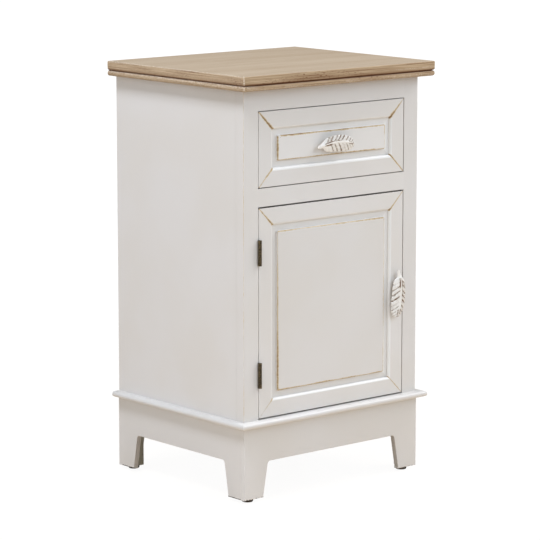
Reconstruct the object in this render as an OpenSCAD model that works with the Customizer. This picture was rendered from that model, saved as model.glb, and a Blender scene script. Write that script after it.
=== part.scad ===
// Nightstand with one drawer above one door, on a plinth with tapered legs.
// Millimetres. X is the width, Y the depth with the front towards -Y, and Z is up.
// The origin is on the floor below the middle of the top board.

/* [Carcass] */
// Width across the two side panels
body_w = 366; // [340:1:420]
// Depth from the face frame to the back
body_d = 318; // [300:1:380]
// Height from the waist board to the top's under-board
body_h = 517.5; // [490:0.5:600]
// Thickness of a side panel
side_t = 15; // [13:0.5:18]
// Thickness of the back panel
back_t = 5; // [3:0.5:8]
// Width of the rebate that takes the back panel, on each side panel
rebate_w = 8; // [6:0.5:10]
// Thickness of the divider between drawer and cupboard
divider_t = 12; // [9:0.5:14]
// Depth of the housing that takes the divider, in each side panel
housing_d = 5; // [3:0.5:7]

/* [Face frame] */
// Thickness of stiles and rails
stile_t = 18; // [16:0.5:22]
// Width of a stile
stile_w = 29.5; // [26:0.5:34]
// Height of the top rail
rail_top_h = 33.5; // [26:0.5:40]
// Height of the middle rail
rail_mid_h = 28.5; // [24:0.5:36]
// Height of the drawer's opening
drawer_open_h = 120; // [112:0.5:140]
// Length of a rail's tenon
tenon_l = 12; // [6:1:16]
// Thickness of a rail's tenon
tenon_t = 6; // [4:0.5:8]
// Shoulder above and below a rail's tenon
tenon_shoulder = 4; // [2:0.5:6]

/* [Top] */
// Thickness of the top board
top_t = 15; // [12:0.5:22]
// Thickness of the under-board
under_t = 9; // [7:0.5:14]
// Overhang of the top at each side
top_over_side = 17; // [15:0.5:24]
// Overhang of the top at the front
top_over_front = 22; // [20:0.5:30]
// Radius along the upper edge of the top board
top_upper_r = 2; // [1:0.5:4]
// Radius along the lower edge of the top board
top_lower_r = 4; // [2:0.5:6]
// Width and height of a cleat that holds the top
cleat_w = 20; // [18:1:26]

/* [Plinth] */
// Height of a foot glide
foot_h = 6; // [3:0.5:8]
// Diameter of a foot glide
foot_dia = 18; // [14:1:24]
// Distance of a glide's middle from its corner block's middle, towards the front or the back
foot_out = 4; // [0:0.5:6]
// Height of the plinth boards
plinth_h = 115.5; // [100:0.5:140]
// Thickness of the plinth boards
plinth_t = 9; // [8:0.5:12]
// How far the plinth stands out beyond each side panel
plinth_out_side = 1; // [0:0.5:4]
// How far the plinth stands out beyond the face frame
plinth_out_front = 2; // [0:0.5:4]
// Height of the apron between the legs
apron_h = 58.5; // [40:0.5:70]
// Width of a leg where it meets the apron
leg_top_w = 49; // [46:0.5:60]
// Width of a leg at its foot
leg_foot_w = 40; // [36:0.5:44]
// Radius between leg and apron
leg_r = 6; // [2:0.5:10]
// Width of a corner block, inside a leg
block_w = 20; // [16:1:24]
// Thickness of the waist board
waist_t = 9; // [7:0.5:12]
// Overhang of the waist board beyond the plinth
waist_over = 13; // [8:0.5:14]

/* [Door and drawer fronts] */
// Thickness of the front frames
front_t = 18; // [16:0.5:18]
// Width of a frame member
member_w = 28.5; // [26:0.5:34]
// Radius along the inner edge of a member
member_r = 4; // [3:0.5:5]
// Width of the recessed band around the field
band_w = 10.5; // [8:0.5:14]
// Depth of the recessed band below the frame's face
recess_d = 5.5; // [5:0.25:6]
// Depth of the raised field below the frame's face
field_d = 1; // [0:0.25:2]
// Radius along the field's edge
field_r = 1.5; // [1:0.25:2]
// Thickness of the panel's tongue
tongue_t = 6; // [5:0.5:7]
// Length of the panel's tongue
tongue_l = 7; // [5:0.5:8]
// Room for the panel to swell, at the bottom of each groove
swell_gap = 1; // [0.5:0.25:2]
// Gap around the drawer front
drawer_gap = 1.4; // [1:0.1:2.5]
// Gap on each side of the door
door_side_gap = 1.5; // [1.2:0.1:2]
// Gap above the door
door_top_gap = 2.2; // [1:0.1:3]
// Gap below the door
door_low_gap = 2.3; // [1:0.1:3]

/* [Drawer box] */
// Thickness of the box's sides, back and inner front
box_t = 12; // [10:0.5:14]
// Height of the box's sides
box_h = 96; // [80:1:100]
// Length of the box's sides
box_l = 275; // [230:1:280]
// Room between the opening and the box, on each side
box_side_gap = 3; // [2:0.5:4]
// Height of the box above the middle rail
box_lift = 1.5; // [1:0.25:2.5]
// Thickness of the box's bottom
bottom_t = 4; // [3:0.5:5]
// Height of the bottom above the sides' lower edges
bottom_up = 8; // [6:0.5:12]
// Depth of the grooves that take the bottom
bottom_groove = 6; // [4:0.5:7]
// Running clearance between box and runners
run_gap = 0.3; // [0.2:0.05:0.6]
// Clearance between the box's sides and the runners' guides
guide_gap = 0.5; // [0.3:0.1:1]
// Height of a runner's guide above its ledge
guide_h = 16; // [12:1:24]
// Width of a ledge beyond the box's side
ledge_out = 2.5; // [1:0.5:6]
// Room between the box's sides and the kickers above
kicker_gap = 2; // [1:0.5:3]
// Height of a kicker
kicker_h = 14; // [10:1:14]
// Height of a stop block above the ledge
stop_h = 32; // [20:1:60]

/* [Hinges] */
// Length of a hinge
hinge_l = 40; // [36:1:50]
// Width of a leaf behind the face of the door
leaf_w = 14; // [12:0.5:15]
// Thickness of a leaf
leaf_t = 1.25; // [1:0.05:1.4]
// Gap between the closed leaves
leaf_gap = 0.3; // [0.2:0.05:0.6]
// Diameter of a hinge pin
pin_dia = 3.4; // [3:0.1:3.6]
// Radial clearance of a pin in its knuckles
pin_gap = 0.05; // [0.02:0.01:0.1]
// Knuckles on one hinge
knuckle_n = 5; // [3:2:7]
// Gap between two knuckles
knuckle_gap = 0.3; // [0.2:0.05:0.5]
// Distance of the hinge axis in front of the face frame
hinge_out = 3.3; // [3.2:0.05:4]
// Distance of each hinge from the door's upper or lower end
hinge_inset = 49; // [40:1:80]
// Spacing of the two screws in a leaf
hinge_screw_pitch = 24; // [18:1:26]
// Length of a hinge screw
hinge_screw_l = 14; // [10:1:18]

/* [Pulls] */
// Length of a feather pull
pull_l = 78; // [66:1:90]
// Length of the barbs on the narrow vane
barb_short = 14.5; // [12:0.5:20]
// Length of the barbs on the wide vane
barb_long = 21; // [14:0.5:23]
// Distance from the face to the back of the feather
pull_gap = 8; // [6:0.5:9]
// Thickness of the feather's rim
pull_rim = 1.6; // [1.2:0.1:2.5]
// Crown of the feather above its rim
pull_crown = 2.5; // [1.5:0.25:4]
// How far the narrow vane leans out from the middle, and the wide vane back
pull_lean = 1.5; // [0:0.25:2.5]
// Sideways bow of the quill
pull_bow = 4.4; // [0:0.2:6]
// Height of the bow's top above the line of the posts
pull_up = 1.6; // [0:0.2:3]
// Height of the quill's ridge
pull_ridge = 1; // [0.5:0.1:1.5]
// Depth of the grooves between the barbs
barb_groove = 0.9; // [0.3:0.1:1.2]
// Groups of barbs on one vane
barb_n = 8; // [5:1:11]
// Spacing of the two posts
post_pitch = 32; // [28:1:40]
// Diameter of a post
post_dia = 8; // [7:0.5:9]
// Diameter of a pull's screw
pull_screw_dia = 4; // [3:0.5:4]

/* [Catch and small screws] */
// Width of the catch's body
catch_w = 30; // [24:1:40]
// Depth of the catch's body
catch_d = 20; // [14:1:26]
// Height of the catch's body
catch_h = 15; // [13:0.5:18]
// Width of an ear of the catch
ear_w = 9; // [8:0.5:12]
// Thickness of the catch's ears
ear_t = 3; // [2:0.5:4]
// Distance of the catch from the door's closing edge
catch_inset = 34; // [30:1:60]
// Thickness of the strike plate
strike_t = 1.2; // [0.8:0.1:2]
// Height of the strike plate
strike_h = 11; // [9:0.5:14]
// Gap between strike plate and catch
strike_gap = 0.3; // [0.1:0.1:1]
// Diameter of a wood screw
screw_dia = 3.5; // [3:0.25:4]
// Diameter of a small screw, as in hinges, catch and back panel
small_dia = 2.8; // [2.2:0.2:3]
// Clearance around a screw's shank
screw_gap = 0.05; // [0.02:0.01:0.1]

/* [Hidden] */
$fn = 48;
// A cut runs this far past the face that it opens
past = 1;

// Colours
paint = [0.92, 0.91, 0.88];
veneer = [0.78, 0.68, 0.55];
bare_wood = [0.82, 0.72, 0.55];
ply = [0.86, 0.79, 0.66];
bronze = [0.28, 0.24, 0.17];
washed = [0.87, 0.84, 0.79];
steel = [0.72, 0.72, 0.70];
plastic = [0.20, 0.17, 0.15];

// Plan of the carcass
top_w = body_w + 2*top_over_side;
top_d = body_d + top_over_front;
y_back = top_d/2;
y_face = y_back - body_d;
y_in = y_face + stile_t;
y_rear = y_back - back_t;
x_out = body_w/2;
x_in = x_out - side_t;
x_open = x_out - stile_w;

// Levels, from the floor up
z_plinth = foot_h;
z_waist = z_plinth + plinth_h;
z_body = z_waist + waist_t;
z_under = z_body + body_h;
z_top = z_under + under_t;
z_rail_top = z_under - rail_top_h;
z_drawer_open = z_rail_top - drawer_open_h;
z_rail_mid = z_drawer_open - rail_mid_h;

// Plan of the plinth
x_plinth = x_out + plinth_out_side;
y_plinth = y_face - plinth_out_front;
x_block = x_plinth - plinth_t - block_w/2;
y_block_front = y_plinth + plinth_t + block_w/2;
y_block_back = y_back - plinth_t - block_w/2;

// Drawer front and door
drawer_w = 2*(x_open - drawer_gap);
drawer_h = drawer_open_h - 2*drawer_gap;
z_drawer = z_drawer_open + drawer_gap;
door_w = 2*(x_open - door_side_gap);
z_door = z_body + door_low_gap;
door_h = z_rail_mid - door_top_gap - z_door;
groove_d = tongue_l + swell_gap;

// Drawer box and its runners
x_box = x_open - box_side_gap;
x_box_in = x_box - box_t;
y_box = y_face + front_t;
y_box_back = y_box + box_l;
z_box = z_drawer_open + box_lift;
z_box_bottom = z_box + bottom_up;
z_divider_top = z_rail_mid + divider_t;
z_ledge = z_box - run_gap;
x_ledge = x_box_in - ledge_out;
x_guide = x_box + guide_gap;
y_runner = max(y_in, y_box) + guide_gap;
z_kicker = z_box + box_h + kicker_gap;

// Hinges
x_axis = -x_open + door_side_gap/2;
y_axis = y_face - hinge_out;
pin_r = pin_dia/2;
bore_r = pin_r + pin_gap;
barrel_r = bore_r + leaf_t;
knuckle_l = (hinge_l - (knuckle_n - 1)*knuckle_gap)/knuckle_n;
mortise_d = leaf_gap/2 + leaf_t - door_side_gap/2;
z_hinge_lower = z_door + hinge_inset;
z_hinge_upper = z_door + door_h - hinge_inset - hinge_l;
hinge_levels = [z_hinge_lower, z_hinge_upper];
y_hinge_screw = y_face + leaf_w/2;

// Pulls
x_door_pull = door_w/2 - member_w/2;
z_door_pull = z_door + door_h/2;
z_drawer_pull = z_drawer + drawer_h/2;
post_ends = [-post_pitch/2, post_pitch/2];
pull_head_t = 2.4;
pull_head_r = 4;
pull_floor = 2;
pull_thread = pull_gap - pull_floor;

// Catch and strike plate
x_catch = door_w/2 - catch_inset - catch_w/2;
y_strike = y_face + front_t;
y_catch = y_strike + strike_t + strike_gap;
z_catch = z_rail_mid - catch_h;
strike_margin = 1;
strike_w = catch_w - 2*strike_margin;
z_strike = z_catch + strike_margin + strike_h/2;
ear_hole = catch_w/2 + ear_w/2;

// Screws: a head is head_share of the shank's diameter in radius, and bite is how much of a board a tip enters.
// screw_depth is how far the long screws enter the wood behind the first board.
head_share = 0.95;
bite = 0.6;
screw_depth = 26;
block_screw_depth = 31;
back_screw_depth = 11;
screw_r = screw_dia/2;
screw_head_r = screw_dia*head_share;
screw_head_t = screw_dia*bite;
small_r = small_dia/2;
small_head_r = small_dia*head_share;
small_head_share = 0.4;
small_head_t = small_dia*small_head_share;

// Glides: the nail, and the share of the disc's height that its lower edge rounds off
nail_r = 1;
nail_l = 14;
glide_round = 0.35;
y_glide_front = y_block_front - foot_out;
y_glide_back = y_block_back + foot_out;

// Where the screws of the carcass stand. screw_end is their distance from a panel's end,
// and edge_room is what a head or shank keeps from a board's edge.
screw_end = 40;
edge_room = 2;
side_screw_x = x_in + screw_r + edge_room;
side_screw_ys = [y_in + screw_end, (y_in + y_rear)/2, y_rear - screw_end];
side_screw_l = waist_t + screw_depth;
top_screw_x = x_in - cleat_w/2;
top_screw_ys = [y_in + screw_end, y_rear - screw_end];
top_screw_l = cleat_w + under_t + top_t*bite;
block_screw_x = min(x_block, x_in - screw_head_r - edge_room);
block_screw_ys = [y_in + screw_head_r + edge_room, y_block_back];
block_screw_l = waist_t + block_screw_depth;
back_screw_x = x_in + rebate_w/2;
back_screw_levels = [
    z_body + screw_end, (z_body + z_rail_mid)/2, z_rail_mid - screw_end,
    z_divider_top + screw_end, z_under - screw_end
];
back_screw_l = back_t + back_screw_depth;
front_screw_side = 7;
front_screw_end = 13;
front_screw_x = x_box_in - front_screw_side;
front_screw_zs = [z_box_bottom + bottom_t + front_screw_end, z_box + box_h - front_screw_end];
front_screw_l = box_t + (front_t - recess_d - tongue_t)*bite;

// A block between two opposite corners
module block(low, high) {
    translate(low) cube(high - low);
}

// The same on both sides of the middle
module both_sides() {
    children();
    mirror([1, 0, 0]) children();
}

// The corner that a round edge of radius r leaves, in the first quadrant with its tip at the origin
module corner_waste(r) {
    difference() {
        translate([-past, -past]) square(r + past);
        translate([r, r]) circle(r = r);
    }
}

// Section of a board with rounded edges: X is its run from a to b, Y its thickness from 0 to t.
// The end at a is always rounded and the end at b only on request; low_r and high_r are the radii.
module edge_section(a, b, t, low_r, high_r, round_b) {
    difference() {
        translate([a, 0]) square([b - a, t]);
        translate([a, 0]) corner_waste(low_r);
        translate([a, t]) mirror([0, 1]) corner_waste(high_r);
        if (round_b) {
            translate([b, 0]) mirror([1, 0]) corner_waste(low_r);
            translate([b, t]) mirror([1, 0]) mirror([0, 1]) corner_waste(high_r);
        }
    }
}

// A board whose front and side edges are rounded and mitred round the corners; its back is square
module edged_board(x, y_front, z, t, low_r, high_r) {
    intersection() {
        translate([0, y_back + past, z])
            rotate([90, 0, 0])
                linear_extrude(y_back - y_front + 2*past)
                    edge_section(-x, x, t, low_r, high_r, true);
        translate([-x - past, 0, z])
            rotate([90, 0, 90])
                linear_extrude(2*x + 2*past)
                    edge_section(y_front, y_back, t, low_r, high_r, false);
    }
}

// A countersunk screw along +Z: its flat head is at the origin, its shank runs up to length l
module screw(r, head_r, head_t, l) {
    rotate_extrude()
        polygon([[0, 0], [head_r, 0], [r, head_t], [r, l - 2*r], [0, l]]);
}

// The hole that a countersunk screw needs, as wide as its shank with a clearance
module screw_hole(r, head_r, head_t, l) {
    translate([0, 0, -past]) cylinder(h = past, r = head_r + screw_gap);
    cylinder(h = head_t, r1 = head_r + screw_gap, r2 = r + screw_gap);
    cylinder(h = l + screw_gap, r = r + screw_gap);
}

// Places children at the four corner blocks
module at_blocks(xs, ys) {
    for (x = [-xs, xs], y = ys) translate([x, y, 0]) children();
}

// Screws and their holes share these places
module at_side_screws() {
    for (x = [-side_screw_x, side_screw_x], y = side_screw_ys) translate([x, y, z_waist]) children();
}

module at_top_screws() {
    for (x = [-top_screw_x, top_screw_x], y = top_screw_ys)
        translate([x, y, z_under - cleat_w]) children();
}

module at_block_screws() {
    at_blocks(block_screw_x, block_screw_ys)
        translate([0, 0, z_body]) rotate([180, 0, 0]) children();
}

module at_back_screws() {
    for (x = [-back_screw_x, back_screw_x], z = back_screw_levels)
        translate([x, y_back, z]) rotate([90, 0, 0]) children();
}

module at_front_screws() {
    for (x = [-front_screw_x, front_screw_x], z = front_screw_zs)
        translate([x, y_box + box_t, z]) rotate([90, 0, 0]) children();
}

module at_hinge_screws(side) {
    x = x_axis + side*leaf_gap/2;
    for (z = hinge_levels, k = [-1, 1])
        translate([x, y_hinge_screw, z + hinge_l/2 + k*hinge_screw_pitch/2])
            rotate([0, side*90, 0]) children();
}

// Top
module top_board() {
    color(veneer) difference() {
        edged_board(top_w/2, -y_back, z_top, top_t, top_lower_r, top_upper_r);
        at_top_screws() screw_hole(screw_r, screw_head_r, screw_head_t, top_screw_l);
    }
}

module top_under_board() {
    color(veneer) difference() {
        edged_board(top_w/2, -y_back, z_under, under_t, under_t/2, under_t/2);
        at_top_screws() screw_hole(screw_r, screw_head_r, screw_head_t, top_screw_l);
    }
}

module top_cleats() {
    color(bare_wood) difference() {
        both_sides() block([x_in - cleat_w, y_in, z_under - cleat_w], [x_in, y_rear, z_under]);
        at_top_screws() screw_hole(screw_r, screw_head_r, screw_head_t, top_screw_l);
    }
}

// Carcass
module side_panel() {
    color(paint) difference() {
        block([-x_out, y_in, z_body], [-x_in, y_back, z_under]);
        block([-x_in - rebate_w, y_rear, z_body - past], [-x_in + past, y_back + past, z_under + past]);
        block([-x_in - housing_d, y_in - past, z_rail_mid], [-x_in + past, y_rear, z_divider_top]);
        at_side_screws() screw_hole(screw_r, screw_head_r, screw_head_t, side_screw_l);
        at_back_screws() screw_hole(small_r, small_head_r, small_head_t, back_screw_l);
    }
}

module back_panel() {
    color(ply) difference() {
        block([-x_in - rebate_w, y_rear, z_body], [x_in + rebate_w, y_back, z_under]);
        at_back_screws() screw_hole(small_r, small_head_r, small_head_t, back_screw_l);
    }
}

module divider_panel() {
    color(bare_wood) difference() {
        block([-x_in - housing_d, y_in, z_rail_mid], [x_in + housing_d, y_rear, z_divider_top]);
        at_catch_screws() screw_hole(small_r, small_head_r, small_head_t, catch_screw_l);
    }
}

// A tenon's hole and the tenon itself are one shape
module tenon(z, h) {
    block([-x_open - tenon_l, y_face + stile_t/2 - tenon_t/2, z + tenon_shoulder],
          [-x_open, y_face + stile_t/2 + tenon_t/2, z + h - tenon_shoulder]);
}

module stile() {
    difference() {
        block([-x_out, y_face, z_body], [-x_open, y_in, z_under]);
        tenon(z_rail_top, rail_top_h);
        tenon(z_rail_mid, rail_mid_h);
    }
}

module front_stile_left() {
    color(paint) difference() {
        stile();
        leaf_mortises(-1);
        at_hinge_screws(-1) screw_hole(small_r, small_head_r, small_head_t, hinge_screw_l);
    }
}

module rail(z, h) {
    color(paint) {
        block([-x_open, y_face, z], [x_open, y_in, z + h]);
        both_sides() tenon(z, h);
    }
}

// Waist and plinth
module waist_board() {
    color(paint) difference() {
        edged_board(x_plinth + waist_over, y_plinth - waist_over, z_waist, waist_t, waist_t/2, waist_t/2);
        at_side_screws() screw_hole(screw_r, screw_head_r, screw_head_t, side_screw_l);
        at_block_screws() screw_hole(screw_r, screw_head_r, screw_head_t, block_screw_l);
    }
}

// Outline of a plinth board that is w wide: the leg's inner edge leans, and a round joins it to the apron.
// The round's centre lies leg_r below the apron and leg_r from the leaning edge.
module plinth_outline(w) {
    arch_h = plinth_h - apron_h;
    lean = atan2(leg_top_w - leg_foot_w, arch_h);
    top_x = w/2 - leg_top_w;
    foot_x = w/2 - leg_foot_w + past*tan(lean);
    round_x = top_x - leg_r*(1 - sin(lean))/cos(lean);
    round_y = arch_h - leg_r;
    side_x = round_x + leg_r*cos(lean);
    side_y = round_y + leg_r*sin(lean);
    difference() {
        translate([-w/2, 0]) square([w, plinth_h]);
        union() {
            polygon([
                [-foot_x, -past], [foot_x, -past], [side_x, side_y], [round_x, arch_h],
                [-round_x, arch_h], [-side_x, side_y]
            ]);
            for (x = [-round_x, round_x]) translate([x, round_y]) circle(r = leg_r);
        }
    }
}

// Front and back boards run the full width, and the side boards stand between them
module plinth_board_x(y) {
    color(paint)
        translate([0, y + plinth_t, z_plinth])
            rotate([90, 0, 0])
                linear_extrude(plinth_t) plinth_outline(2*x_plinth);
}

module plinth_side() {
    depth = y_back - y_plinth;
    color(paint) intersection() {
        translate([-x_plinth, y_plinth + depth/2, z_plinth])
            rotate([90, 0, 90])
                linear_extrude(plinth_t) plinth_outline(depth);
        block([-x_plinth - past, y_plinth + plinth_t, z_plinth - past],
              [-x_plinth + plinth_t + past, y_back - plinth_t, z_waist + past]);
    }
}

module plinth_corner_blocks() {
    color(bare_wood) difference() {
        at_blocks(x_block, [y_block_front, y_block_back])
            block([-block_w/2, -block_w/2, z_plinth], [block_w/2, block_w/2, z_waist]);
        at_block_screws() screw_hole(screw_r, screw_head_r, screw_head_t, block_screw_l);
        at_blocks(x_block, [y_glide_front, y_glide_back])
            translate([0, 0, z_plinth - past]) cylinder(h = nail_l + past, r = nail_r);
    }
}

// A disc with a rounded lower edge, and a nail that runs up into the corner block
module glide() {
    rotate_extrude() {
        difference() {
            square([foot_dia/2, foot_h]);
            translate([foot_dia/2, 0]) mirror([1, 0]) corner_waste(foot_h*glide_round);
        }
        square([nail_r, foot_h + nail_l - screw_gap]);
    }
}

module foot_glides() {
    color(plastic) at_blocks(x_block, [y_glide_front, y_glide_back]) glide();
}

// Drawer runners: a ledge that carries the box's side, and a guide beside it
module drawer_runner() {
    color(bare_wood) {
        block([-x_in, y_runner, z_divider_top], [-x_ledge, y_rear, z_ledge]);
        block([-x_in, y_runner, z_ledge], [-x_guide, y_rear, z_ledge + guide_h]);
    }
}

module drawer_kickers() {
    color(bare_wood) both_sides()
        block([-x_in, y_runner, z_kicker], [-x_ledge, y_rear, z_kicker + kicker_h]);
}

module drawer_stops() {
    color(bare_wood) both_sides()
        block([-x_guide, y_box_back + run_gap, z_ledge], [-x_ledge, y_rear, z_ledge + stop_h]);
}

// Section of a frame member: X runs from its outer to its inner edge, Y from its face to its back
module member_section() {
    difference() {
        square([member_w, front_t]);
        translate([member_w, 0]) mirror([1, 0]) corner_waste(member_r);
        translate([member_w - groove_d, recess_d]) square([groove_d + past, tongue_t]);
    }
}

// The lower member of a front that is w wide, mitred at both ends
module member(w) {
    reach = member_w + past;
    intersection() {
        translate([w, 0, 0]) rotate([0, -90, 0]) linear_extrude(w) member_section();
        translate([0, front_t + past, 0])
            rotate([90, 0, 0])
                linear_extrude(front_t + 2*past)
                    polygon([[-past, -past], [w + past, -past], [w - reach, reach], [reach, reach]]);
    }
}

// The four members of a front w wide and h high, each moved to its own side
module member_bottom(w) {
    member(w);
}

module member_top(w, h) {
    translate([0, 0, h]) mirror([0, 0, 1]) member(w);
}

module member_left(h) {
    mirror([1, 0, -1]) member(h);
}

module member_right(w, h) {
    translate([w, 0, 0]) mirror([1, 0, 0]) member_left(h);
}

// Section of a raised panel along one way: the tongue, and the field with its rounded edge.
// X is the run from the opening's start to its end at l, Y the depth below the frame's face.
module panel_section(l) {
    translate([-tongue_l, recess_d]) square([l + 2*tongue_l, tongue_t]);
    difference() {
        translate([band_w, field_d]) square([l - 2*band_w, recess_d + tongue_t/2 - field_d]);
        translate([band_w, field_d]) corner_waste(field_r);
        translate([l - band_w, field_d]) mirror([1, 0]) corner_waste(field_r);
    }
}

// The raised panel of a front w wide and h high
module raised_panel(w, h) {
    in_w = w - 2*member_w;
    in_h = h - 2*member_w;
    run_w = in_w + 2*tongue_l;
    run_h = in_h + 2*tongue_l;
    intersection() {
        translate([member_w, 0, member_w - tongue_l - past])
            linear_extrude(run_h + 2*past) panel_section(in_w);
        translate([member_w + in_w + tongue_l + past, 0, member_w])
            rotate([0, -90, 0])
                linear_extrude(run_w + 2*past) panel_section(in_h);
    }
}

// Drawer front
module at_drawer() {
    translate([-drawer_w/2, y_face, z_drawer]) children();
}

module drawer_side_member(mirrored) {
    color(paint) mirror([mirrored, 0, 0]) difference() {
        at_drawer() member_left(drawer_h);
        at_front_screws() screw_hole(screw_r, screw_head_r, screw_head_t, front_screw_l);
    }
}

module drawer_field_panel() {
    color(paint) difference() {
        at_drawer() raised_panel(drawer_w, drawer_h);
        at_drawer_pull() pull_holes(front_t + box_t);
    }
}

// Drawer box
module drawer_box_side() {
    color(bare_wood) difference() {
        block([-x_box, y_box, z_box], [-x_box_in, y_box_back, z_box + box_h]);
        block([-x_box_in - bottom_groove, y_box - past, z_box_bottom],
              [-x_box_in + past, y_box_back + past, z_box_bottom + bottom_t]);
    }
}

module drawer_box_front() {
    color(bare_wood) difference() {
        block([-x_box_in, y_box, z_box], [x_box_in, y_box + box_t, z_box + box_h]);
        block([-x_box_in - past, y_box + box_t - bottom_groove, z_box_bottom],
              [x_box_in + past, y_box + box_t + past, z_box_bottom + bottom_t]);
        at_front_screws() screw_hole(screw_r, screw_head_r, screw_head_t, front_screw_l);
        at_drawer_pull() pull_holes(front_t + box_t);
    }
}

module drawer_box_back() {
    color(bare_wood)
        block([-x_box_in, y_box_back - box_t, z_box_bottom + bottom_t],
              [x_box_in, y_box_back, z_box + box_h]);
}

module drawer_box_bottom() {
    reach = x_box_in + bottom_groove - guide_gap;
    color(ply)
        block([-reach, y_box + box_t - bottom_groove + guide_gap, z_box_bottom],
              [reach, y_box_back, z_box_bottom + bottom_t]);
}

// Door
module at_door() {
    translate([-door_w/2, y_face, z_door]) children();
}

module door_member_left() {
    color(paint) difference() {
        at_door() member_left(door_h);
        leaf_mortises(1);
        at_hinge_screws(1) screw_hole(small_r, small_head_r, small_head_t, hinge_screw_l);
    }
}

module door_member_right() {
    color(paint) difference() {
        at_door() member_right(door_w, door_h);
        at_door_pull() pull_holes(front_t);
    }
}

module door_member_top() {
    color(paint) difference() {
        at_door() member_top(door_w, door_h);
        at_strike_screw() screw_hole(small_r, small_head_r, small_head_t, strike_screw_l);
    }
}

// Hinges: the frame's leaf has the odd knuckles and side -1, the door's leaf the even ones and side 1.
// The leaf lies beside the middle plane of the gap, and its knuckles turn round the pin's axis.
module knuckles(first, grow) {
    for (k = [first:2:knuckle_n - 1])
        translate([0, 0, k*(knuckle_l + knuckle_gap) - grow])
            children();
}

module hinge_leaf(side, first) {
    other = 1 - first;
    wall = leaf_gap/2 + leaf_t;
    color(bronze) difference() {
        union() {
            difference() {
                block([side > 0 ? leaf_gap/2 : -wall, 0, 0],
                      [side > 0 ? wall : -leaf_gap/2, hinge_out + leaf_w, hinge_l]);
                knuckles(other, knuckle_gap)
                    cylinder(h = knuckle_l + 2*knuckle_gap, r = barrel_r + knuckle_gap);
            }
            knuckles(first, 0) cylinder(h = knuckle_l, r = barrel_r);
        }
        translate([0, 0, -past]) cylinder(h = hinge_l + 2*past, r = bore_r);
    }
}

module placed_leaf(side, first, z) {
    difference() {
        translate([x_axis, y_axis, z]) hinge_leaf(side, first);
        color(bronze) at_hinge_screws(side) screw_hole(small_r, small_head_r, small_head_t, hinge_screw_l);
    }
}

module leaf_mortises(side) {
    edge = x_axis + side*(leaf_gap/2 + leaf_t);
    reach = side*(mortise_d + past);
    for (z = hinge_levels)
        block([min(edge, edge - reach), y_face - past, z],
              [max(edge, edge - reach), y_face + leaf_w, z + hinge_l]);
}

module hinge_pins() {
    color(bronze) for (z = hinge_levels)
        translate([x_axis, y_axis, z]) cylinder(h = hinge_l, r = pin_r);
}

// Feather pull, drawn with its quill's tip towards -X and its face towards +Z.
// s runs along the quill from 0 to 1, and t across from -1 on the wide vane to 1 on the narrow one.
// The quill is bare up to s = bare. A vane starts with first_share of its full length and is full at s = full;
// behind the point called late it loses late_share again, and its barbs close up towards the tip.
bare = 0.235;
full = 0.5;
late = 0.5;
first_share = 0.5;
late_share = 0.48;
barb_spread = 40;
barb_close = 24;
notch_share = 0.1;
quill_r = 2.3;
quill_taper = 0.6;
rows = 54;
half_cols = 5;
cols = 2*half_cols;

function ease(a, b, v) = let (k = min(max((v - a)/(b - a), 0), 1)) k*k*(3 - 2*k);
function quill_x(s) = -pull_l/2 + s*(pull_l - barb(1, -1)*cos(barb_angle(1)));
function quill_y(s) = pull_up - pull_bow*pow(2*s - 1, 2);
// Length of the barbs as a share of the longest
function vane(s) =
    ease(bare - 0.03, bare + 0.05, s)
    * (first_share + (1 - first_share)*ease(bare, full, s))
    * (1 - late_share*ease(late, 1, s));
// Close to 1 in the groove between two groups of barbs, and 0 elsewhere
function groove(s) = s < bare ? 0 : pow(abs(cos(180*barb_n*(s - bare)/(1 - bare))), 10);
// Angle between barbs and quill: upright where the vane starts, and closed towards the tip
function barb_angle(s) = 90 - barb_spread*ease(bare - 0.05, bare + 0.2, s) - barb_close*ease(late, 1, s);
function barb(s, t) =
    quill_r*ease(-0.05, 0.12, s)*(1 - quill_taper*s)
    + (t > 0 ? barb_short : barb_long)*vane(s)*(1 - notch_share*groove(s));
function rise(s, t) = vane(s)*(pull_crown*(1 - t*t) + pull_lean*t);
function back_z(s, t) = pull_gap + vane(s)*(0.5*pull_crown*(1 - t*t) + pull_lean*t);
function face_z(s, t) =
    pull_gap + pull_rim + rise(s, t)
    + pull_ridge*max(0, 1 - abs(t)*half_cols)
    - barb_groove*groove(s)*ease(0.05, 0.5, abs(t));
function feather_xy(s, t) = [
    quill_x(s) + abs(t)*barb(s, t)*cos(barb_angle(s)),
    quill_y(s) + t*barb(s, t)*sin(barb_angle(s))
];
function feather_point(s, t, z) = let (p = feather_xy(s, t)) [p[0], p[1], z];

// A grid of points on the face, the same grid on the back, and a rim that joins them
module feather() {
    row = cols + 1;
    back = (rows + 1)*row;
    steps = [for (i = [0:rows], j = [0:cols]) [i/rows, j/half_cols - 1]];
    face_points = [for (p = steps) feather_point(p[0], p[1], face_z(p[0], p[1]))];
    back_points = [for (p = steps) feather_point(p[0], p[1], back_z(p[0], p[1]))];
    cells = [for (i = [0:rows - 1], j = [0:cols - 1]) i*row + j];
    face_skin = [for (c = cells) each [[c, c + row + 1, c + row], [c, c + 1, c + row + 1]]];
    back_skin = [for (c = cells) each [[c, c + row, c + row + 1], [c, c + row + 1, c + 1]]];
    rim = concat(
        [for (i = [0:rows - 1]) [(i + 1)*row, i*row]],
        [for (i = [0:rows - 1]) [i*row + cols, (i + 1)*row + cols]],
        [for (j = [0:cols - 1]) [j, j + 1]],
        [for (j = [0:cols - 1]) [rows*row + j + 1, rows*row + j]]
    );
    polyhedron(
        points = concat(face_points, back_points),
        faces = concat(
            face_skin,
            [for (f = back_skin) [f[0] + back, f[1] + back, f[2] + back]],
            [for (e = rim) each [[e[1], e[0], e[0] + back], [e[1], e[0] + back, e[1] + back]]]
        )
    );
}

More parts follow.
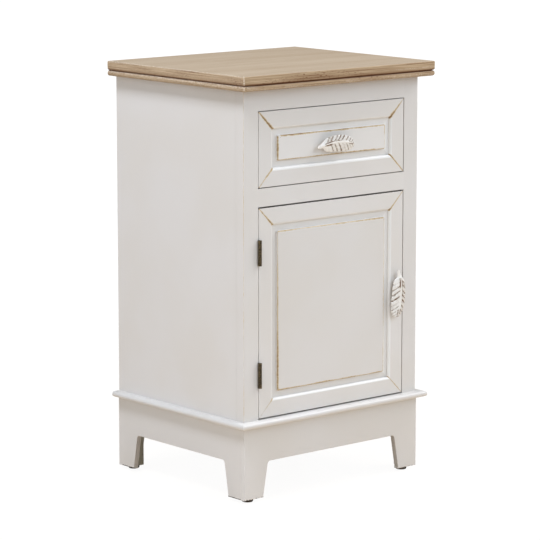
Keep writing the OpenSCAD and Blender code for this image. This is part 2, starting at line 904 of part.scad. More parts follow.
module pull() {
    color(washed) difference() {
        union() {
            feather();
            for (x = post_ends) translate([x, 0, 0]) cylinder(h = pull_gap + pull_rim, r = post_dia/2);
        }
        for (x = post_ends)
            translate([x, 0, -past])
                cylinder(h = pull_thread + past, r = pull_screw_dia/2 + screw_gap);
    }
}

// Holes for a pull's screws through wood that is depth thick, and the screws themselves
module pull_holes(depth) {
    for (x = post_ends)
        translate([x, 0, -depth - past])
            cylinder(h = depth + 2*past, r = pull_screw_dia/2 + 2*screw_gap);
}

module pull_screws(depth) {
    color(steel) for (x = post_ends) translate([x, 0, -depth]) {
        translate([0, 0, -pull_head_t]) cylinder(h = pull_head_t, r = pull_head_r);
        cylinder(h = depth + pull_thread - past, r = pull_screw_dia/2);
    }
}

// The drawer's pull lies level on the field; the door's is turned a quarter, with its quill up
module at_drawer_pull() {
    translate([0, y_face + field_d, z_drawer_pull]) rotate([90, 0, 0]) children();
}

module at_door_pull() {
    translate([x_door_pull, y_face, z_door_pull]) rotate([0, 90, 0]) rotate([90, 0, 0]) children();
}

// Magnetic catch under the divider, and the strike plate on the back of the door
catch_screw_room = 2;
catch_screw_l = ear_t + divider_t - catch_screw_room;
strike_screw_l = 8;

module at_catch_screws() {
    for (x = [-ear_hole, ear_hole])
        translate([x_catch + x, y_catch + catch_d/2, z_rail_mid - ear_t]) children();
}

module at_strike_screw() {
    translate([x_catch, y_strike + strike_t, z_strike]) rotate([90, 0, 0]) children();
}

module catch_body() {
    color(plastic) difference() {
        union() {
            block([x_catch - catch_w/2, y_catch, z_catch], [x_catch + catch_w/2, y_catch + catch_d, z_rail_mid]);
            block([x_catch - catch_w/2 - ear_w, y_catch + catch_d/2 - ear_w/2, z_rail_mid - ear_t],
                  [x_catch + catch_w/2 + ear_w, y_catch + catch_d/2 + ear_w/2, z_rail_mid]);
        }
        at_catch_screws() screw_hole(small_r, small_head_r, small_head_t, catch_screw_l);
    }
}

module strike_plate() {
    color(steel) difference() {
        block([x_catch - strike_w/2, y_strike, z_strike - strike_h/2],
              [x_catch + strike_w/2, y_strike + strike_t, z_strike + strike_h/2]);
        at_strike_screw() screw_hole(small_r, small_head_r, small_head_t, strike_screw_l);
    }
}

// Screws
module wood_screws(l) {
    color(steel) screw(screw_r, screw_head_r, screw_head_t, l);
}

module small_screws(l, tint) {
    color(tint) screw(small_r, small_head_r, small_head_t, l);
}

top_board();
top_under_board();
side_panel();  // side_panel_left
mirror([1, 0, 0]) side_panel();  // side_panel_right
back_panel();
divider_panel();
front_stile_left();
mirror([1, 0, 0]) color(paint) stile();  // front_stile_right
rail(z_rail_top, rail_top_h);  // front_rail_top
rail(z_rail_mid, rail_mid_h);  // front_rail_middle
waist_board();
plinth_board_x(y_plinth);  // plinth_front
plinth_board_x(y_back - plinth_t);  // plinth_back
plinth_side();  // plinth_left
mirror([1, 0, 0]) plinth_side();  // plinth_right
plinth_corner_blocks();
foot_glides();
drawer_runner();  // drawer_runner_left
mirror([1, 0, 0]) drawer_runner();  // drawer_runner_right
drawer_kickers();
drawer_stops();
top_cleats();
placed_leaf(-1, 0, z_hinge_upper);  // hinge_frame_leaf_upper
placed_leaf(-1, 0, z_hinge_lower);  // hinge_frame_leaf_lower
hinge_pins();
at_hinge_screws(-1) small_screws(hinge_screw_l, bronze);  // hinge_frame_screws
catch_body();
at_catch_screws() small_screws(catch_screw_l, steel);  // catch_screws
at_back_screws() small_screws(back_screw_l, steel);  // back_screws
at_top_screws() wood_screws(top_screw_l);  // top_screws
at_side_screws() wood_screws(side_screw_l);  // side_screws
at_block_screws() wood_screws(block_screw_l);  // block_screws
color(paint) at_drawer() member_top(drawer_w, drawer_h);  // drawer_member_top
color(paint) at_drawer() member_bottom(drawer_w);  // drawer_member_bottom
drawer_side_member(0);  // drawer_member_left
drawer_side_member(1);  // drawer_member_right
drawer_field_panel();
drawer_box_front();
drawer_box_side();  // drawer_box_side_left
mirror([1, 0, 0]) drawer_box_side();  // drawer_box_side_right
drawer_box_back();
drawer_box_bottom();
at_drawer_pull() pull();  // drawer_pull
at_drawer_pull() pull_screws(front_t + box_t - field_d);  // drawer_pull_screws
at_front_screws() wood_screws(front_screw_l);  // drawer_front_screws
door_member_top();
color(paint) at_door() member_bottom(door_w);  // door_member_bottom
door_member_left();
door_member_right();
color(paint) at_door() raised_panel(door_w, door_h);  // door_field_panel
at_door_pull() pull();  // door_pull
at_door_pull() pull_screws(front_t);  // door_pull_screws
placed_leaf(1, 1, z_hinge_upper);  // hinge_door_leaf_upper
placed_leaf(1, 1, z_hinge_lower);  // hinge_door_leaf_lower
at_hinge_screws(1) small_screws(hinge_screw_l, bronze);  // hinge_door_screws
strike_plate();
at_strike_screw() small_screws(strike_screw_l, steel);  // strike_screws
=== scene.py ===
"""Looks of a painted nightstand: veneered top, one drawer, one door and feather-shaped pulls.

The packed model is the fixed frame. The boards, fronts and pulls that show are made again as finer
surfaces that stand for their nodes; every other part keeps its mesh and gets its finish.
Lengths are metres. X is the width, the front faces -Y, and Z is up.
"""
import math

import bmesh
import bpy
import numpy as np
from bpy.props import FloatProperty, FloatVectorProperty, PointerProperty
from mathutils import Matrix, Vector


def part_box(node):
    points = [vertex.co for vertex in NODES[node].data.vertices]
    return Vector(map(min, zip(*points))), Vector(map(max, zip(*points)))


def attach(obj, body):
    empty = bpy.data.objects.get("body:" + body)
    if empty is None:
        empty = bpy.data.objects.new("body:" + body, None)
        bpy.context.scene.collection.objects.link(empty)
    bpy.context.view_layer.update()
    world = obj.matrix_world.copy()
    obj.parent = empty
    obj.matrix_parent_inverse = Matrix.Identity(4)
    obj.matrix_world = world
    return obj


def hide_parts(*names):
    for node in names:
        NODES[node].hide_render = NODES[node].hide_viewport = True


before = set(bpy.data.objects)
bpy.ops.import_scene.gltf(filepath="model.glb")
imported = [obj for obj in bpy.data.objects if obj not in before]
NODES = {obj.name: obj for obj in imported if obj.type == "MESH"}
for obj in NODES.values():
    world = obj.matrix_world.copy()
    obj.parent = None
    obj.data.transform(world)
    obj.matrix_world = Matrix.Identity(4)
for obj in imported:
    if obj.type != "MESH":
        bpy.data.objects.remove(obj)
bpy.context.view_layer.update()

bl_info = {
    "name": "Painted nightstand",
    "version": (1, 0, 0),
    "blender": (4, 5, 0),
    "location": "3D View > Sidebar > Nightstand",
    "description": "Boards, fronts, pulls and finishes of a painted nightstand round its packed parts",
    "category": "Add Mesh",
}

MM = 0.001
MERGE = 1e-6
ARC_STEPS = 4
# Flat strip kept beside a rounded edge for its wear, and the distance that stands for no wear
WEAR_STRIP = 4 * MM
UNWORN_MM = 99.0
# Steps between the corners of a moulded board and of a raised panel, and points round a post
BOARD_STEPS = 12
PANEL_STEPS = 36
POST_POINTS = 32
SMOOTH_ANGLE = math.radians(40)
LIT_POINT = Vector((0.0, 0.0, 0.35))
SENSOR_MM = 36.0
FLOOR_RADIUS, FLOOR_POINTS, FLOOR_ROUGHNESS = 14.0, 96, 0.12
# Attributes that the finishes read: distance from a worn line in millimetres, how strongly it is worn (on the
# top also painted highlight), how chipped an edge is (also the painted shadow of the door's top gap), how thin
# the paint is (on the plinth painted shade), how much painted light brightens it, and how much glaze lies in a
# groove
WORN_MM, WEAR_AND_HIGHLIGHT, CHIPS_AND_GAP_SHADOW, THIN_PAINT_AND_SHADE, PAINTED_LIGHT, GLAZE = "worn_mm", "worn_by", "chipped", "thin", "pale", "glaze"
GRAIN_MAP = "grain"


def srgb(red, green, blue):
    """Scene-linear colour of a display colour whose parts run from 0 to 255."""
    part = np.array([red, green, blue]) / 255
    return tuple(np.where(part <= 0.04045, part / 12.92, ((part + 0.055) / 1.055) ** 2.4))


def length(name, description, default):
    return FloatProperty(name=name, description=description, default=default, min=0.0,
                         precision=5, subtype="DISTANCE", unit="LENGTH")


def amount(name, description, default, top=10.0):
    return FloatProperty(name=name, description=description, default=default, min=0.0, max=top)


def angle(name, description, degrees):
    return FloatProperty(name=name, description=description, default=math.radians(degrees),
                         subtype="ANGLE", unit="ROTATION")


def colour(name, description, *display):
    return FloatVectorProperty(name=name, description=description, default=srgb(*display),
                               min=0.0, max=1.0, size=3, subtype="COLOR")


class NightstandShape(bpy.types.PropertyGroup):
    """Sizes that the packed parts' boxes don't give."""

    ease: length("Board easing", "Radius sanded along a painted board's edges", 0.0009)
    top_upper: length("Top board upper radius", "Rounding of the top board's upper edge", 0.002)
    top_lower: length("Top board lower radius", "Rounding of the top board's lower edge", 0.004)
    top_corner: length("Top corner radius", "Rounding of the top's upright corners", 0.0008)
    member_inner: length("Member inner radius", "Rounding of a frame member's inner edge", 0.004)
    member_ease: length("Member outer easing", "Rounding of a frame member's outer edge", 0.0007)
    recess: length("Recess depth", "Depth of the band below the members' face", 0.0055)
    band: length("Recess width", "Width of the band round the raised field", 0.0105)
    field_edge: length("Field edge radius", "Rounding of the raised field's edge", 0.0015)
    field_corner: length("Field corner radius", "Rounding of the raised field's corners", 0.0022)
    tongue: length("Tongue thickness", "Thickness of the panel's tongue", 0.006)
    mitre_vee: length("Mitre groove", "Half the width of the groove where members meet", 0.0005)
    arch_height: length("Arch height", "Height of the plinth boards' cut-out", 0.057)
    leg_top: length("Leg width above", "Width of a leg where it joins the apron", 0.049)
    leg_foot: length("Leg width below", "Width of a leg at the floor", 0.040)
    leg_round: length("Arch corner radius", "Rounding between leg and apron", 0.006)
    block: length("Corner block", "Side of a corner block behind a leg", 0.020)
    block_front: length("Front corner block", "Width of the corner blocks behind the front legs", 0.0135)


class NightstandPull(bpy.types.PropertyGroup):
    """Shape of a feather pull."""

    size: length("Length", "Length of the pull along its quill", 0.078)
    rise: length("Rise", "How far the posts sit above the middle of the pull's box", 0.0009)
    gap: length("Finger gap", "Gap behind the feather", 0.008)
    rim: length("Rim thickness", "Thickness of the casting at its rim", 0.0016)
    crown: length("Crown", "Rise of the feather's middle above its rim", 0.0025)
    lean: length("Lean", "Rise of the narrow vane's rim above the quill", 0.0015)
    root: length("Root", "Rise of the bare root's middle above its rim", 0.0012)
    shaft: length("Shaft height", "Height of the quill above the vanes", 0.0009)
    shaft_radius: length("Shaft radius", "Half the width of the quill where it enters the vanes", 0.0015)
    groove: length("Groove depth", "Depth of the deepest grooves between barbs", 0.0012)
    strand: length("Strand relief", "Depth of the fine lines between single barbs", 0.00018)
    bare: amount("Bare quill", "Share of the feather before its first groove", 0.27, 1.0)
    groups: amount("Barb groups", "Groups of barbs on each vane", 9.0, 30.0)
    post_pitch: length("Post pitch", "Distance between the two posts", 0.032)
    post_radius: length("Post radius", "Radius of a post", 0.004)
    door_tilt: angle("Door tilt", "Turn of the door's feather on its posts", 4.0)


class NightstandFinish(bpy.types.PropertyGroup):
    """Colours and wear."""

    paint: colour("Paint", "Off-white satin paint", 226, 223, 219)
    paint_warm: colour("Paint, warm", "Where the paint has yellowed a little", 224, 220, 214)
    # Painted light: paler paint that stands in for light on lit roundings and in shaded recesses
    paint_pale: colour("Paint, pale", "Cleaner paint in recesses and roundings", 244, 243, 240)
    # The undercoat also stands in for painted shade over the plinth boards and in their cut-out
    undercoat: colour("Undercoat", "Grey of thinly painted edges", 150, 141, 127)
    wear: colour("Wear", "Gold-brown glaze where the paint is rubbed through", 210, 190, 154)
    wear_deep: colour("Deep wear", "Brown of the deepest rubbed places", 150, 120, 82)
    # The chip colour is also the painted shadow in the gap above the door
    chip: colour("Chip", "Dark board that shows in a chip", 62, 54, 44)
    wear_width: amount("Wear width", "Reach of a fully worn line in millimetres", 2.3)
    veneer: colour("Veneer", "Limed oak of the top", 180, 161, 137)
    veneer_light: colour("Veneer, light", "Palest streaks of the oak", 188, 170, 146)
    veneer_dark: colour("Veneer, dark", "Brown streaks of the oak", 168, 147, 121)
    edge: colour("Edge", "Browner oak of the boards' front edges", 177, 151, 119)
    edge_light: colour("Edge, light", "Palest streaks of the edges", 203, 179, 147)
    edge_dark: colour("Edge, dark", "Dark streaks and knots of the edges", 138, 108, 80)
    # Pale oak that is partly rubbed arris and partly painted highlight on the top's lit edges
    edge_worn: colour("Worn edge", "Pale oak where an arris is rubbed", 236, 222, 200)
    # The glaze colour is also painted shade down the lower part of the top's edges
    veneer_glaze: colour("Veneer glaze", "Dark glaze between the top's boards", 118, 80, 54)
    bare: colour("Bare wood", "Planed softwood of runners and drawer box", 214, 184, 138)
    bare_dark: colour("Bare wood, dark", "Late wood of the softwood's grain", 186, 148, 100)
    ply: colour("Plywood", "Birch plywood of back and drawer bottom", 220, 196, 158)
    bronze: colour("Aged bronze", "Dark patina of the hinges", 62, 52, 34)
    bronze_rub: colour("Rubbed bronze", "Where hands have rubbed the patina", 112, 96, 66)
    wash: colour("Whitewash", "White brushed over the castings", 246, 243, 237)
    wash_grey: colour("Whitewash, thin", "Greyed white where the wash is thin", 200, 192, 181)
    wash_glaze: colour("Casting glaze", "Brown left in the castings' grooves", 112, 80, 50)
    block: colour("Corner block", "Thin grey paint on the corner blocks", 202, 203, 192)
    block_dark: colour("Corner block, dark", "Late wood that shows through on them", 168, 166, 152)
    steel: colour("Steel", "Zinc-plated screws and strike plate", 190, 190, 188)
    steel_dark: colour("Steel, dark", "Turned scratches of the zinc", 150, 149, 145)
    plastic: colour("Dark plastic", "Foot glides and catch", 78, 70, 62)
    plastic_pale: colour("Dark plastic, pale", "Scuffs of the plastic", 96, 88, 79)


class NightstandStudio(bpy.types.PropertyGroup):
    """Camera and light."""

    azimuth: angle("Azimuth", "Turn of the camera's look about the upright axis", -40.565)
    pitch: angle("Pitch", "How far the camera looks down", 9.74)
    eye: FloatVectorProperty(name="Camera place", description="Where the camera stands", size=3,
                             default=(-2.8575, -3.3347, 1.0858), subtype="TRANSLATION", unit="LENGTH")
    lens: FloatProperty(name="Lens", description="Focal length on a 36 mm sensor", default=183.05,
                        subtype="DISTANCE_CAMERA")
    key_back: amount("Left key, rear", "Watts of the small softbox high on the left", 25.4, 1000.0)
    key_front: amount("Left key, front", "Watts of the small softbox nearer the front", 26.5, 1000.0)
    fill: amount("Left fill", "Watts of the large softbox low on the left", 16.8, 1000.0)
    right: amount("Right softbox", "Watts of the large softbox on the right", 51.7, 1000.0)
    front: amount("Front softbox", "Watts of the large softbox in front", 26.3, 1000.0)
    left_tint: colour("Left tint", "Colour of the softboxes on the left", 234, 241, 255)
    right_tint: colour("Right tint", "Colour of the softbox on the right", 249, 250, 255)
    front_tint: colour("Front tint", "Colour of the front softbox", 218, 234, 255)
    ambient: amount("Ambient light", "Strength of the light from all round", 0.267)
    ambient_tint: colour("Ambient tint", "Colour of the light from all round", 254, 255, 250)
    floor: colour("Floor", "Pale floor that throws light back up", 229, 213, 194)
    glow: amount("Floor glow", "Strength of the white that the camera sees on the floor", 1.11)
    shine: amount("Floor shine", "Share of the floor's faint reflection in its glow", 0.05, 1.0)
    veil: amount("Floor veil", "Share of the glow over the floor at the feet", 0.90, 1.0)
    shadow_near: length("Shadow reach", "Distance from which the glow hides more of the shadow", 0.5)
    shadow_far: length("Shadow end", "Distance from which the glow hides all of the shadow", 1.6)


# Outlines, sections and rings


def rounded_rectangle(low, high, radius, between=0, margin=0.0):
    """Closed counter-clockwise outline between two corners: four quarter circles,
    centre + radius * (cos a, sin a), and equal steps on the straight sides. A margin adds a point
    at that distance from each arc."""
    turn = np.linspace(0, math.pi / 2, ARC_STEPS + 1) + np.radians([-90, 0, 90, 180])[:, None]
    far = np.array([[1, 0], [1, 1], [0, 1], [0, 0]])
    centres = np.where(far, high, low) + radius * (1 - 2 * far)
    arcs = centres[:, None] + radius * np.stack([np.cos(turn), np.sin(turn)], -1)
    share = np.broadcast_to(np.linspace(0, 1, between + 2)[1:-1], (4, between))
    ends = arcs[:, None, -1]
    run = np.roll(arcs[:, 0], -1, 0)[:, None] - ends
    if margin:
        near = margin / np.linalg.norm(run, axis=-1)
        share = np.concatenate([near, share, 1 - near], 1)
    return np.concatenate([arcs, ends + share[..., None] * run], 1).reshape(-1, 2)


def rectangles(low, high, radius, insets, *settings):
    """A rounded rectangle drawn in by each of the insets, with its corners' radius."""
    return [rounded_rectangle(low + i, high - i, max(radius - i, 0.0), *settings) for i in insets]


def inset(outline, distance):
    """The counter-clockwise outline moved inwards: each point goes along the sum of its two edges'
    unit normals n1 and n2, by distance * (n1 + n2) / (1 + n1 . n2)."""
    edge = np.roll(outline, -1, 0) - outline
    edge /= np.maximum(np.linalg.norm(edge, axis=1, keepdims=True), 1e-12)
    after = np.stack([-edge[:, 1], edge[:, 0]], 1)
    before = np.roll(after, 1, 0)
    spread = 1 + (after * before).sum(1, keepdims=True)
    return outline + distance * (after + before) / spread


def edge_profile(thickness, front, back, margin):
    """Insets and depths of a board's rim, from its face over the front rounding, inset = r (1 - sin a)
    and depth = r (1 - cos a), to the back rounding. A margin on both faces holds the wear."""
    a = np.linspace(0, math.pi / 2, ARC_STEPS + 1)
    b = a[::-1]
    insets = np.r_[front + margin, front * (1 - np.sin(a)), back * (1 - np.sin(b)), back + margin]
    depths = np.r_[0, front * (1 - np.cos(a)), thickness - back * (1 - np.cos(b)), thickness]
    return insets, depths


def along_profile(insets, depths):
    """How far each profile point lies from the profile's start, measured along the profile."""
    return np.r_[0, np.cumsum(np.hypot(np.diff(insets), np.diff(depths)))]


def ring_faces(rings, points, start):
    """Corner numbers of a closed tube of rings: quads between neighbours, and a face across each end."""
    ring, point = np.meshgrid(np.arange(rings - 1), np.arange(points), indexing="ij")
    here = start + ring * points
    following = (point + 1) % points
    quads = np.stack([here + point, here + following, here + points + following, here + points + point], -1)
    first = start + np.arange(points)
    last = first + (rings - 1) * points
    return quads.reshape(-1, 4).tolist() + [first[::-1].tolist(), last.tolist()]


# For each way a board can face: the axes of its outline, the axis of its depth and the depth's sign
PLANES = {
    "front": (0, 2, 1, 1), "back": (0, 2, 1, -1), "left": (1, 2, 0, 1), "right": (1, 2, 0, -1),
    "top": (0, 1, 2, -1),
}


def placed(rings, depths, plane, low, high):
    """Flat outlines in the frame's axes, laid one below the other, each at its depth below the face
    that a box turns towards the plane's side."""
    u, v, depth, sign = PLANES[plane]
    flat = np.array(rings)
    out = np.empty(flat.shape[:2] + (3,))
    out[..., u] = flat[..., 0]
    out[..., v] = flat[..., 1]
    out[..., depth] = (low if sign > 0 else high)[depth] + sign * np.asarray(depths)[:, None]
    return out


# Meshes


def linked(name, data):
    """A new object of the scene."""
    made = bpy.data.objects.new(name, data)
    bpy.context.scene.collection.objects.link(made)
    return made


def add_piece(node, ending, body, slot, stacks, attributes, finish=None):
    """Makes a closed mesh of stacks of rings, merges its seams, turns its faces outwards, lets it ride
    on its body and stand for its node. An attribute is spread over the rings of a single stack, and
    has a value for every point of more."""
    name = f"{node}_{ending}"
    points, faces = np.empty((0, 3)), []
    for stack in stacks:
        faces += ring_faces(*stack.shape[:2], len(points))
        points = np.concatenate([points, stack.reshape(-1, 3)])
    spread = stacks[0].shape[:2] if len(stacks) == 1 else len(points)
    mesh = bpy.data.meshes.new(name)
    mesh.from_pydata(points.tolist(), [], faces)
    for key, values in attributes.items():
        layer = mesh.attributes.new(key, "FLOAT", "POINT")
        layer.data.foreach_set("value", np.broadcast_to(values, spread).ravel().astype(np.float32))
    seams = bmesh.new()
    seams.from_mesh(mesh)
    bmesh.ops.remove_doubles(seams, verts=seams.verts, dist=MERGE)
    bmesh.ops.recalc_face_normals(seams, faces=seams.faces)
    seams.to_mesh(mesh)
    seams.free()
    mesh.shade_smooth()
    mesh.set_sharp_from_angle(angle=SMOOTH_ANGLE)
    if slot == "oak_veneer":
        map_grain(mesh)
    mesh.materials.append(finish or finish_of(slot))
    made = linked(name, mesh)
    made.modifiers.new("even_normals", "WEIGHTED_NORMAL").keep_sharp = True
    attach(made, body)
    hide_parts(node)


def read(items, key, width, kind=float):
    values = np.empty(len(items) * width, kind)
    items.foreach_get(key, values)
    return values.reshape(-1, width)


def map_grain(mesh):
    """A UV map in metres: U runs along the grain, which is X, or along Y on faces that look along X,
    and V runs across it. Each way of facing has its own strip of the map."""
    corners = read(mesh.loops, "vertex_index", 1, np.int32)[:, 0]
    sides = read(mesh.polygons, "loop_total", 1, np.int32)[:, 0]
    facing = np.repeat(np.abs(read(mesh.polygons, "normal", 3)).argmax(1), sides)
    u_axis = np.where(facing == 0, 1, 0)
    v_axis = 3 - facing - u_axis
    spot = read(mesh.vertices, "co", 3)[corners]
    row = np.arange(len(corners))
    uv = np.stack([spot[row, u_axis], spot[row, v_axis] + 0.5 * facing], 1)
    mesh.uv_layers.new(name=GRAIN_MAP).data.foreach_set("uv", uv.ravel())


def corners_of(node):
    low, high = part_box(node)
    return np.array(low), np.array(high)


# Finishes


class Nodes:
    """The nodes of a material or world in the making. Methods add nodes and return an output to build on."""

    def __init__(self, owner):
        owner.use_nodes = True
        self.owner = owner
        self.tree = owner.node_tree
        self.tree.nodes.clear()

    def node(self, kind, sockets=None, **settings):
        made = self.tree.nodes.new("ShaderNode" + kind)
        for key, value in settings.items():
            setattr(made, key, value)
        for key, value in (sockets or {}).items():
            self.feed(made.inputs[key], value)
        return made

    def feed(self, socket, value):
        if isinstance(value, bpy.types.NodeSocket):
            self.tree.links.new(value, socket)
        elif socket.type == "RGBA":
            socket.default_value = (*value[:3], 1.0)
        else:
            socket.default_value = value

    def blend(self, share, first, second):
        return self.node("MixShader", {0: share, 1: first, 2: second}).outputs[0]

    def for_camera(self, seen, otherwise):
        """What the camera sees itself, and what all other light meets."""
        return self.blend(self.node("LightPath").outputs["Is Camera Ray"], otherwise, seen)

    def end(self, kind, surface):
        self.feed(self.node("Output" + kind).inputs["Surface"], surface)
        return self.owner


class Finish(Nodes):
    """A node material in the making."""

    def __init__(self, name):
        super().__init__(bpy.data.materials.new(name))
        self.place = self.node("TexCoord").outputs["Object"]

    def math(self, operation, *values):
        return self.node("Math", dict(enumerate(values)), operation=operation).outputs[0]

    def product(self, first, second):
        return self.math("MULTIPLY", first, second)

    def weighted(self, first, share, second, rest):
        """first * share + second * rest"""
        return self.math("ADD", self.product(first, share), self.product(second, rest))

    def noise(self, vector, scale, detail=2.0, roughness=0.5, distortion=0.0):
        sockets = {"Vector": vector, "Scale": scale, "Detail": detail}
        sockets.update({"Roughness": roughness, "Distortion": distortion})
        return self.node("TexNoise", sockets).outputs["Fac"]

    def streaks(self, vector, stretch, *settings):
        """Noise with a scale of its own on each axis."""
        stretched = self.node("VectorMath", {0: vector, 1: stretch}, operation="MULTIPLY").outputs[0]
        return self.noise(stretched, 1.0, *settings)

    def step(self, value, low, high, to_low=0.0, to_high=1.0):
        sockets = {0: value, 1: low, 2: high, 3: to_low, 4: to_high}
        return self.node("MapRange", sockets, interpolation_type="SMOOTHSTEP").outputs[0]

    def mix(self, share, first, second):
        return self.node("Mix", {0: share, 6: first, 7: second}, data_type="RGBA").outputs[2]

    def tones(self, value, first, second, third, low, high):
        """The first colour, that turns to the second over the low span and to the third over the high."""
        return self.mix(self.step(value, *high), self.mix(self.step(value, *low), first, second), third)

    def attribute(self, name):
        return self.node("Attribute", attribute_name=name).outputs["Fac"]

    def bump(self, height, distance):
        return self.node("Bump", {"Height": height, "Distance": distance, "Strength": 1.0}).outputs[0]

    def finish(self, **sockets):
        """The material, with these sockets of its surface. Their spaces are written as underscores."""
        sockets = {key.replace("_", " "): value for key, value in sockets.items()}
        return self.end("Material", self.node("BsdfPrincipled", sockets).outputs[0])


def antique_paint(look):
    """Satin paint over a gold-brown glaze. Along a worn line the paint is gone as far as its strength
    times an uneven width reaches. Chipped edges show dark board, and the same dark is painted shadow
    in the gap above the door. Thin paint shows a grey undercoat, which on the plinth is painted shade.
    Paler paint is painted light over recessed bands, inner roundings and the drawer's field."""
    f = Finish("antique_paint")
    cloud = f.noise(f.place, 6.0, 3.0)
    film = f.mix(f.step(cloud, 0.36, 0.64), look.paint, look.paint_warm)
    # Painted light: paler paint over recessed bands, lit inner roundings and the drawer's field
    film = f.mix(f.attribute(PAINTED_LIGHT), film, look.paint_pale)
    # Grey undercoat of thin paint, and painted shade over the plinth boards and their cut-out
    film = f.mix(f.attribute(THIN_PAINT_AND_SHADE), film, look.undercoat)
    drift = f.noise(f.place, 22.0, 2.0)
    ragged = f.noise(f.place, 240.0, 3.0, 0.6)
    reach = f.product(f.attribute(WEAR_AND_HIGHLIGHT), look.wear_width)
    reach = f.product(reach, f.step(drift, 0.30, 0.70, 0.62, 1.18))
    reach = f.product(reach, f.step(ragged, 0.25, 0.75, 0.72, 1.22))
    over = f.math("SUBTRACT", reach, f.attribute(WORN_MM))
    worn = f.step(over, 0.0, 0.9)
    deep = f.step(over, 0.9, 2.6)
    under = f.mix(deep, look.wear, look.wear_deep)
    shown = f.mix(worn, film, under)
    chips = f.noise(f.place, 260.0, 2.0, 0.6)
    # Dark chips, and the painted shadow of the gap above the door on its top arris
    chipped = f.step(f.product(f.attribute(CHIPS_AND_GAP_SHADOW), chips), 0.50, 0.56)
    shown = f.mix(chipped, shown, look.chip)
    peel = f.noise(f.place, 900.0, 2.0)
    brushed = f.streaks(f.place, (260.0, 260.0, 26.0), 2.0)
    height = f.weighted(peel, 0.6, brushed, 0.4)
    height = f.math("SUBTRACT", height, f.product(worn, 1.6))
    return f.finish(Base_Color=shown, Roughness=f.math("ADD", 0.40, f.product(worn, 0.2)),
                    Specular_IOR_Level=0.42, Normal=f.bump(height, 0.00002))


def limed_oak(look):
    """Limed oak on the boards' own grain map: long fibres and a wide figure, browner and more streaked
    on the edges, with sparse knots, dark glaze in the groove with painted shade beside it, and pale
    arrises that are partly rubbed and partly painted highlight."""
    f = Finish("limed_oak")
    grain = f.node("UVMap", uv_map=GRAIN_MAP).outputs[0]
    fibres = f.streaks(grain, (7.0, 420.0, 0.0), 4.0, 0.6)
    fine = f.streaks(grain, (24.0, 1300.0, 0.0), 2.0)
    figure = f.streaks(grain, (2.0, 26.0, 0.0), 3.0, 0.5, 0.5)
    tone = f.weighted(fibres, 0.6, figure, 0.4)
    face = f.tones(tone, look.veneer_dark, look.veneer, look.veneer_light, (0.34, 0.52), (0.48, 0.66))
    streak = f.streaks(grain, (9.0, 760.0, 0.0), 4.0, 0.6)
    rim = f.tones(streak, look.edge_dark, look.edge, look.edge_light, (0.36, 0.50), (0.50, 0.64))
    knot = f.streaks(grain, (170.0, 700.0, 0.0), 1.0)
    where = f.streaks(grain, (9.0, 40.0, 0.0), 0.0)
    knots = f.product(f.step(knot, 0.60, 0.68), f.step(where, 0.60, 0.70))
    rim = f.mix(knots, rim, look.veneer_glaze)
    up = f.node("SeparateXYZ", {0: f.node("NewGeometry").outputs["Normal"]}).outputs[2]
    shade = f.mix(f.step(f.math("ABSOLUTE", up), 0.45, 0.95, 1.0, 0.0), face, rim)
    shade = f.mix(f.step(fine, 0.32, 0.60, 0.16, 0.0), shade, look.edge_dark)
    # Glaze in the groove, and painted shade down the lower part of the boards' edges
    gathered = f.product(f.attribute(GLAZE), f.step(fibres, 0.25, 0.75, 1.12, 0.88))
    shade = f.mix(f.step(gathered, 0.0, 0.95), shade, look.veneer_glaze)
    # Pale arrises: rubbed wear and painted highlight
    patchy = f.step(f.noise(f.place, 480.0, 2.0), 0.40, 0.58, 0.1, 1.0)
    shade = f.mix(f.product(f.attribute(WEAR_AND_HIGHLIGHT), patchy), shade, look.edge_worn)
    height = f.weighted(fibres, 0.6, fine, 0.4)
    return f.finish(Base_Color=shade, Roughness=f.step(fibres, 0.3, 0.7, 0.72, 0.62),
                    Specular_IOR_Level=0.12, Normal=f.bump(height, 0.00005))


def grained_wood(name, axis, first, second):
    """Wood in two tones whose rings are noise stretched along one axis of the frame."""
    f = Finish(name)
    stretch = [90.0, 90.0, 90.0]
    stretch[axis] = 3.0
    rings = f.streaks(f.place, stretch, 3.0, 0.55, 0.5)
    fibres = f.streaks(f.place, [s * 9.0 for s in stretch], 2.0)
    shade = f.mix(f.step(rings, 0.38, 0.62), first, second)
    shade = f.mix(f.step(fibres, 0.3, 0.7, 0.25, 0.0), shade, second)
    return f.finish(Base_Color=shade, Roughness=f.step(fibres, 0.3, 0.7, 0.72, 0.58),
                    Specular_IOR_Level=0.25, Normal=f.bump(fibres, 0.00004))


def aged_bronze(look):
    """Dark patina with rubbed, slightly brighter places."""
    f = Finish("aged_bronze")
    patches = f.noise(f.place, 420.0, 3.0, 0.6)
    grit = f.noise(f.place, 2600.0, 2.0)
    rubbed = f.step(patches, 0.46, 0.66)
    shade = f.mix(rubbed, look.bronze, look.bronze_rub)
    return f.finish(Base_Color=shade, Metallic=0.45, Roughness=f.step(patches, 0.4, 0.7, 0.58, 0.42),
                    Normal=f.bump(grit, 0.00003))


def washed_casting(look):
    """White brushed over a cast feather, with brown glaze left in its grooves."""
    f = Finish("washed_casting")
    blots = f.noise(f.place, 240.0, 4.0, 0.6)
    grit = f.noise(f.place, 1800.0, 2.0)
    left = f.product(f.attribute(GLAZE), f.step(blots, 0.30, 0.68, 0.6, 1.25))
    left = f.math("ADD", left, f.step(blots, 0.52, 0.75, 0.0, 0.16))
    left = f.math("ADD", left, f.step(grit, 0.6, 0.80, 0.0, 0.10))
    shade = f.tones(left, look.wash, look.wash_grey, look.wash_glaze, (0.10, 0.45), (0.40, 1.0))
    return f.finish(Base_Color=shade, Metallic=0.08, Roughness=f.step(left, 0.1, 0.9, 0.36, 0.6),
                    Normal=f.bump(f.math("ADD", blots, grit), 0.00004))


